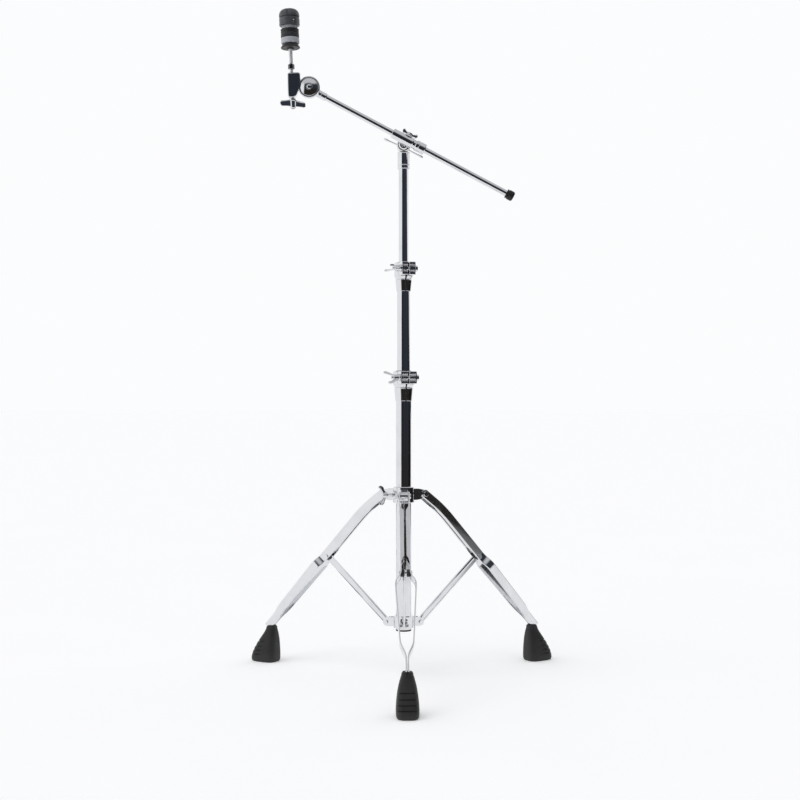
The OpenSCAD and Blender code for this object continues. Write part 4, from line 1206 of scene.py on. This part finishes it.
def sky():
    """White cove all round, but for the unlit side of the room that the chrome mirrors as a dark band."""
    world = bpy.data.worlds.new("studio")
    bpy.context.scene.world = world
    world.use_nodes = True
    g = Nodes(world.node_tree)
    direction = g.new("TexCoord").outputs["Generated"]
    xyz = g.new("SeparateXYZ", {"Vector": direction})
    x, y, z = xyz.outputs
    angle = g.math("ARCTAN2", x, g.math("MULTIPLY", y, -1.0))     # 0 towards the camera, + to its right
    left_edge, soft = math.radians(-37), math.radians(3)
    rise = g.new("MapRange", {"Value": angle, "From Min": left_edge - soft, "From Max": left_edge + soft},
                 interpolation_type="SMOOTHSTEP").outputs[0]
    # the dark side ends sooner the higher one looks
    lower = g.new("MapRange", {"Value": z, "From Min": -0.01, "From Max": 0.05, "To Min": 150.0, "To Max": 114.0}).outputs[0]
    upper = g.new("MapRange", {"Value": z, "From Min": 0.05, "From Max": 0.14, "To Min": 0.0, "To Max": 25.0}).outputs[0]
    right_edge = g.math("MULTIPLY", g.math("SUBTRACT", lower, upper), math.radians(1))
    fall = g.new("MapRange", {"Value": g.math("SUBTRACT", angle, right_edge), "From Min": 2 * soft, "From Max": -2 * soft},
                 interpolation_type="SMOOTHSTEP").outputs[0]
    dark = g.math("MULTIPLY", rise, fall)
    # the dark side has a faint window glow and a warm floor line
    glow = g.new("TexNoise", {"Vector": direction, "Scale": 2.2, "Detail": 1.0}).outputs["Fac"]
    navy = g.ramp(glow, [(0.35, (0.018, 0.022, 0.03)), (0.75, (0.045, 0.052, 0.068))])
    below = g.new("MapRange", {"Value": z, "From Min": 0.02, "From Max": -0.1}).outputs[0]
    night = g.new("Mix", {"Factor": below, "A": navy, "B": (0.024, 0.02, 0.017, 1)}, data_type="RGBA").outputs["Result"]
    colour = g.new("Mix", {"Factor": dark, "A": (0.97, 0.975, 0.985, 1), "B": night}, data_type="RGBA").outputs["Result"]
    overhead = g.new("MapRange", {"Value": z, "From Min": 0.4, "From Max": 0.66}, interpolation_type="SMOOTHSTEP").outputs[0]
    colour = g.new("Mix", {"Factor": overhead, "A": colour, "B": (0.62, 0.625, 0.64, 1)}, data_type="RGBA").outputs["Result"]
    # whichever way the camera looks, it sees the white cove; the dark side shows only in the chrome
    seen = g.new("LightPath").outputs["Is Camera Ray"]
    colour = g.new("Mix", {"Factor": seen, "A": colour, "B": (0.97, 0.975, 0.985, 1)}, data_type="RGBA").outputs["Result"]
    background = g.new("Background", {"Color": colour, "Strength": 1.0})
    out = g.new("OutputWorld")
    world.node_tree.links.new(background.outputs[0], out.inputs["Surface"])


FLOOR_GLOW = 0.2


def floor():
    """Plain pale floor; the camera sees it almost white. Rays off the chrome see painted shade on it: its colour and
    glow darken from 1.15 m out on the camera's right side, standing in for the unlit side of the room.
    """
    near, far, wide = -1.39, 60.0, 40.0
    me = bpy.data.meshes.new("floor")
    me.from_pydata([(-wide, near, 0), (wide, near, 0), (wide, far, 0), (-wide, far, 0)], [], [(0, 1, 2, 3)])
    ob = bpy.data.objects.new("floor", me)
    bpy.context.scene.collection.objects.link(ob)
    mat = bpy.data.materials.new("floor_white")
    mat.use_nodes = True
    g = Nodes(mat.node_tree)
    place = g.new("TexCoord").outputs["Object"]
    mottle = g.new("TexNoise", {"Vector": place, "Scale": 3.0, "Detail": 2.0}).outputs["Fac"]
    xyz = g.new("SeparateXYZ", {"Vector": place}).outputs
    reach = g.new("VectorMath", {0: place}, operation="LENGTH").outputs["Value"]
    # painted shade: the floor's colour and glow darken far off on the camera's right, between the front and the
    # side-back
    painted_shade_reach = g.new("MapRange", {"Value": reach, "From Min": 1.15, "From Max": 2.1},
                    interpolation_type="SMOOTHSTEP").outputs[0]
    angle = g.math("ARCTAN2", xyz["X"], g.math("MULTIPLY", xyz["Y"], -1.0))
    painted_shade_side = g.new("MapRange", {"Value": angle, "From Min": 0.2, "From Max": 0.6},
                     interpolation_type="SMOOTHSTEP").outputs[0]
    painted_shade_back_limit = g.new("MapRange", {"Value": angle, "From Min": 2.4, "From Max": 2.1},
                     interpolation_type="SMOOTHSTEP").outputs[0]
    painted_shade = g.math("MULTIPLY", painted_shade_reach, g.math("MULTIPLY", painted_shade_side, painted_shade_back_limit))
    painted_shade_multiplier = g.math("SUBTRACT", 1.0, g.math("MULTIPLY", painted_shade, 0.84))
    # painted shade: beyond the sheet's edge the floor on the room's unlit side is painted nearly black
    painted_dark_off_sheet = g.new("MapRange", {"Value": reach, "From Min": 2.75, "From Max": 2.95}).outputs[0]
    # the painted shade's sector, on the camera's right side
    side = g.math("MULTIPLY", painted_shade_side, painted_shade_back_limit)
    painted_shade_multiplier = g.math("MULTIPLY", painted_shade_multiplier, g.math("SUBTRACT", 1.0, g.math("MULTIPLY", g.math("MULTIPLY", painted_dark_off_sheet, side), 0.93)))
    # camera rays see the floor without the painted shade
    painted_shade_multiplier = g.math("MAXIMUM", painted_shade_multiplier, g.new("LightPath").outputs["Is Camera Ray"])
    mottle_and_painted_shade = g.math("MULTIPLY", g.span(mottle, 0.88, 0.9), painted_shade_multiplier)
    white = g.new("CombineColor", {"Red": mottle_and_painted_shade, "Green": mottle_and_painted_shade, "Blue": mottle_and_painted_shade}).outputs[0]
    diffuse = g.new("BsdfDiffuse", {"Color": white})
    # the floor's glow is dimmed by the same painted shade
    glow = g.new("Emission", {"Color": (0.985, 0.99, 1, 1), "Strength": g.math("MULTIPLY", painted_shade_multiplier, FLOOR_GLOW)})
    both = g.new("AddShader", {0: diffuse.outputs[0], 1: glow.outputs[0]})
    out = g.new("OutputMaterial")
    mat.node_tree.links.new(both.outputs[0], out.inputs["Surface"])
    me.materials.append(mat)


def soft_sun(name, direction, strength, spread_deg):
    data = bpy.data.lights.new(name, "SUN")
    data.energy = strength
    data.angle = math.radians(spread_deg)
    ob = bpy.data.objects.new(name, data)
    bpy.context.scene.collection.objects.link(ob)
    ob.rotation_euler = Vector(direction).to_track_quat("-Z", "Y").to_euler()
    ob.visible_glossy = False


def camera():
    height, distance, azimuth = 0.534, 2.518, math.radians(-1.2)
    data = bpy.data.cameras.new("camera")
    data.sensor_width = 36
    data.lens = 58.7
    data.shift_x = -0.0045
    ob = bpy.data.objects.new("camera", data)
    bpy.context.scene.collection.objects.link(ob)
    ob.location = (math.sin(azimuth) * distance, -math.cos(azimuth) * distance, height)
    ob.rotation_euler = (math.pi / 2, 0, azimuth)
    bpy.context.scene.camera = ob


sky()
floor()
soft_sun("key", (0.5, 0.45, -1.0), 0.75, 50)
soft_sun("fill", (-0.3, 0.9, -0.5), 0.25, 60)
camera()
bpy.context.scene.view_settings.view_transform = "Standard"
bpy.context.scene.view_settings.look = "None"
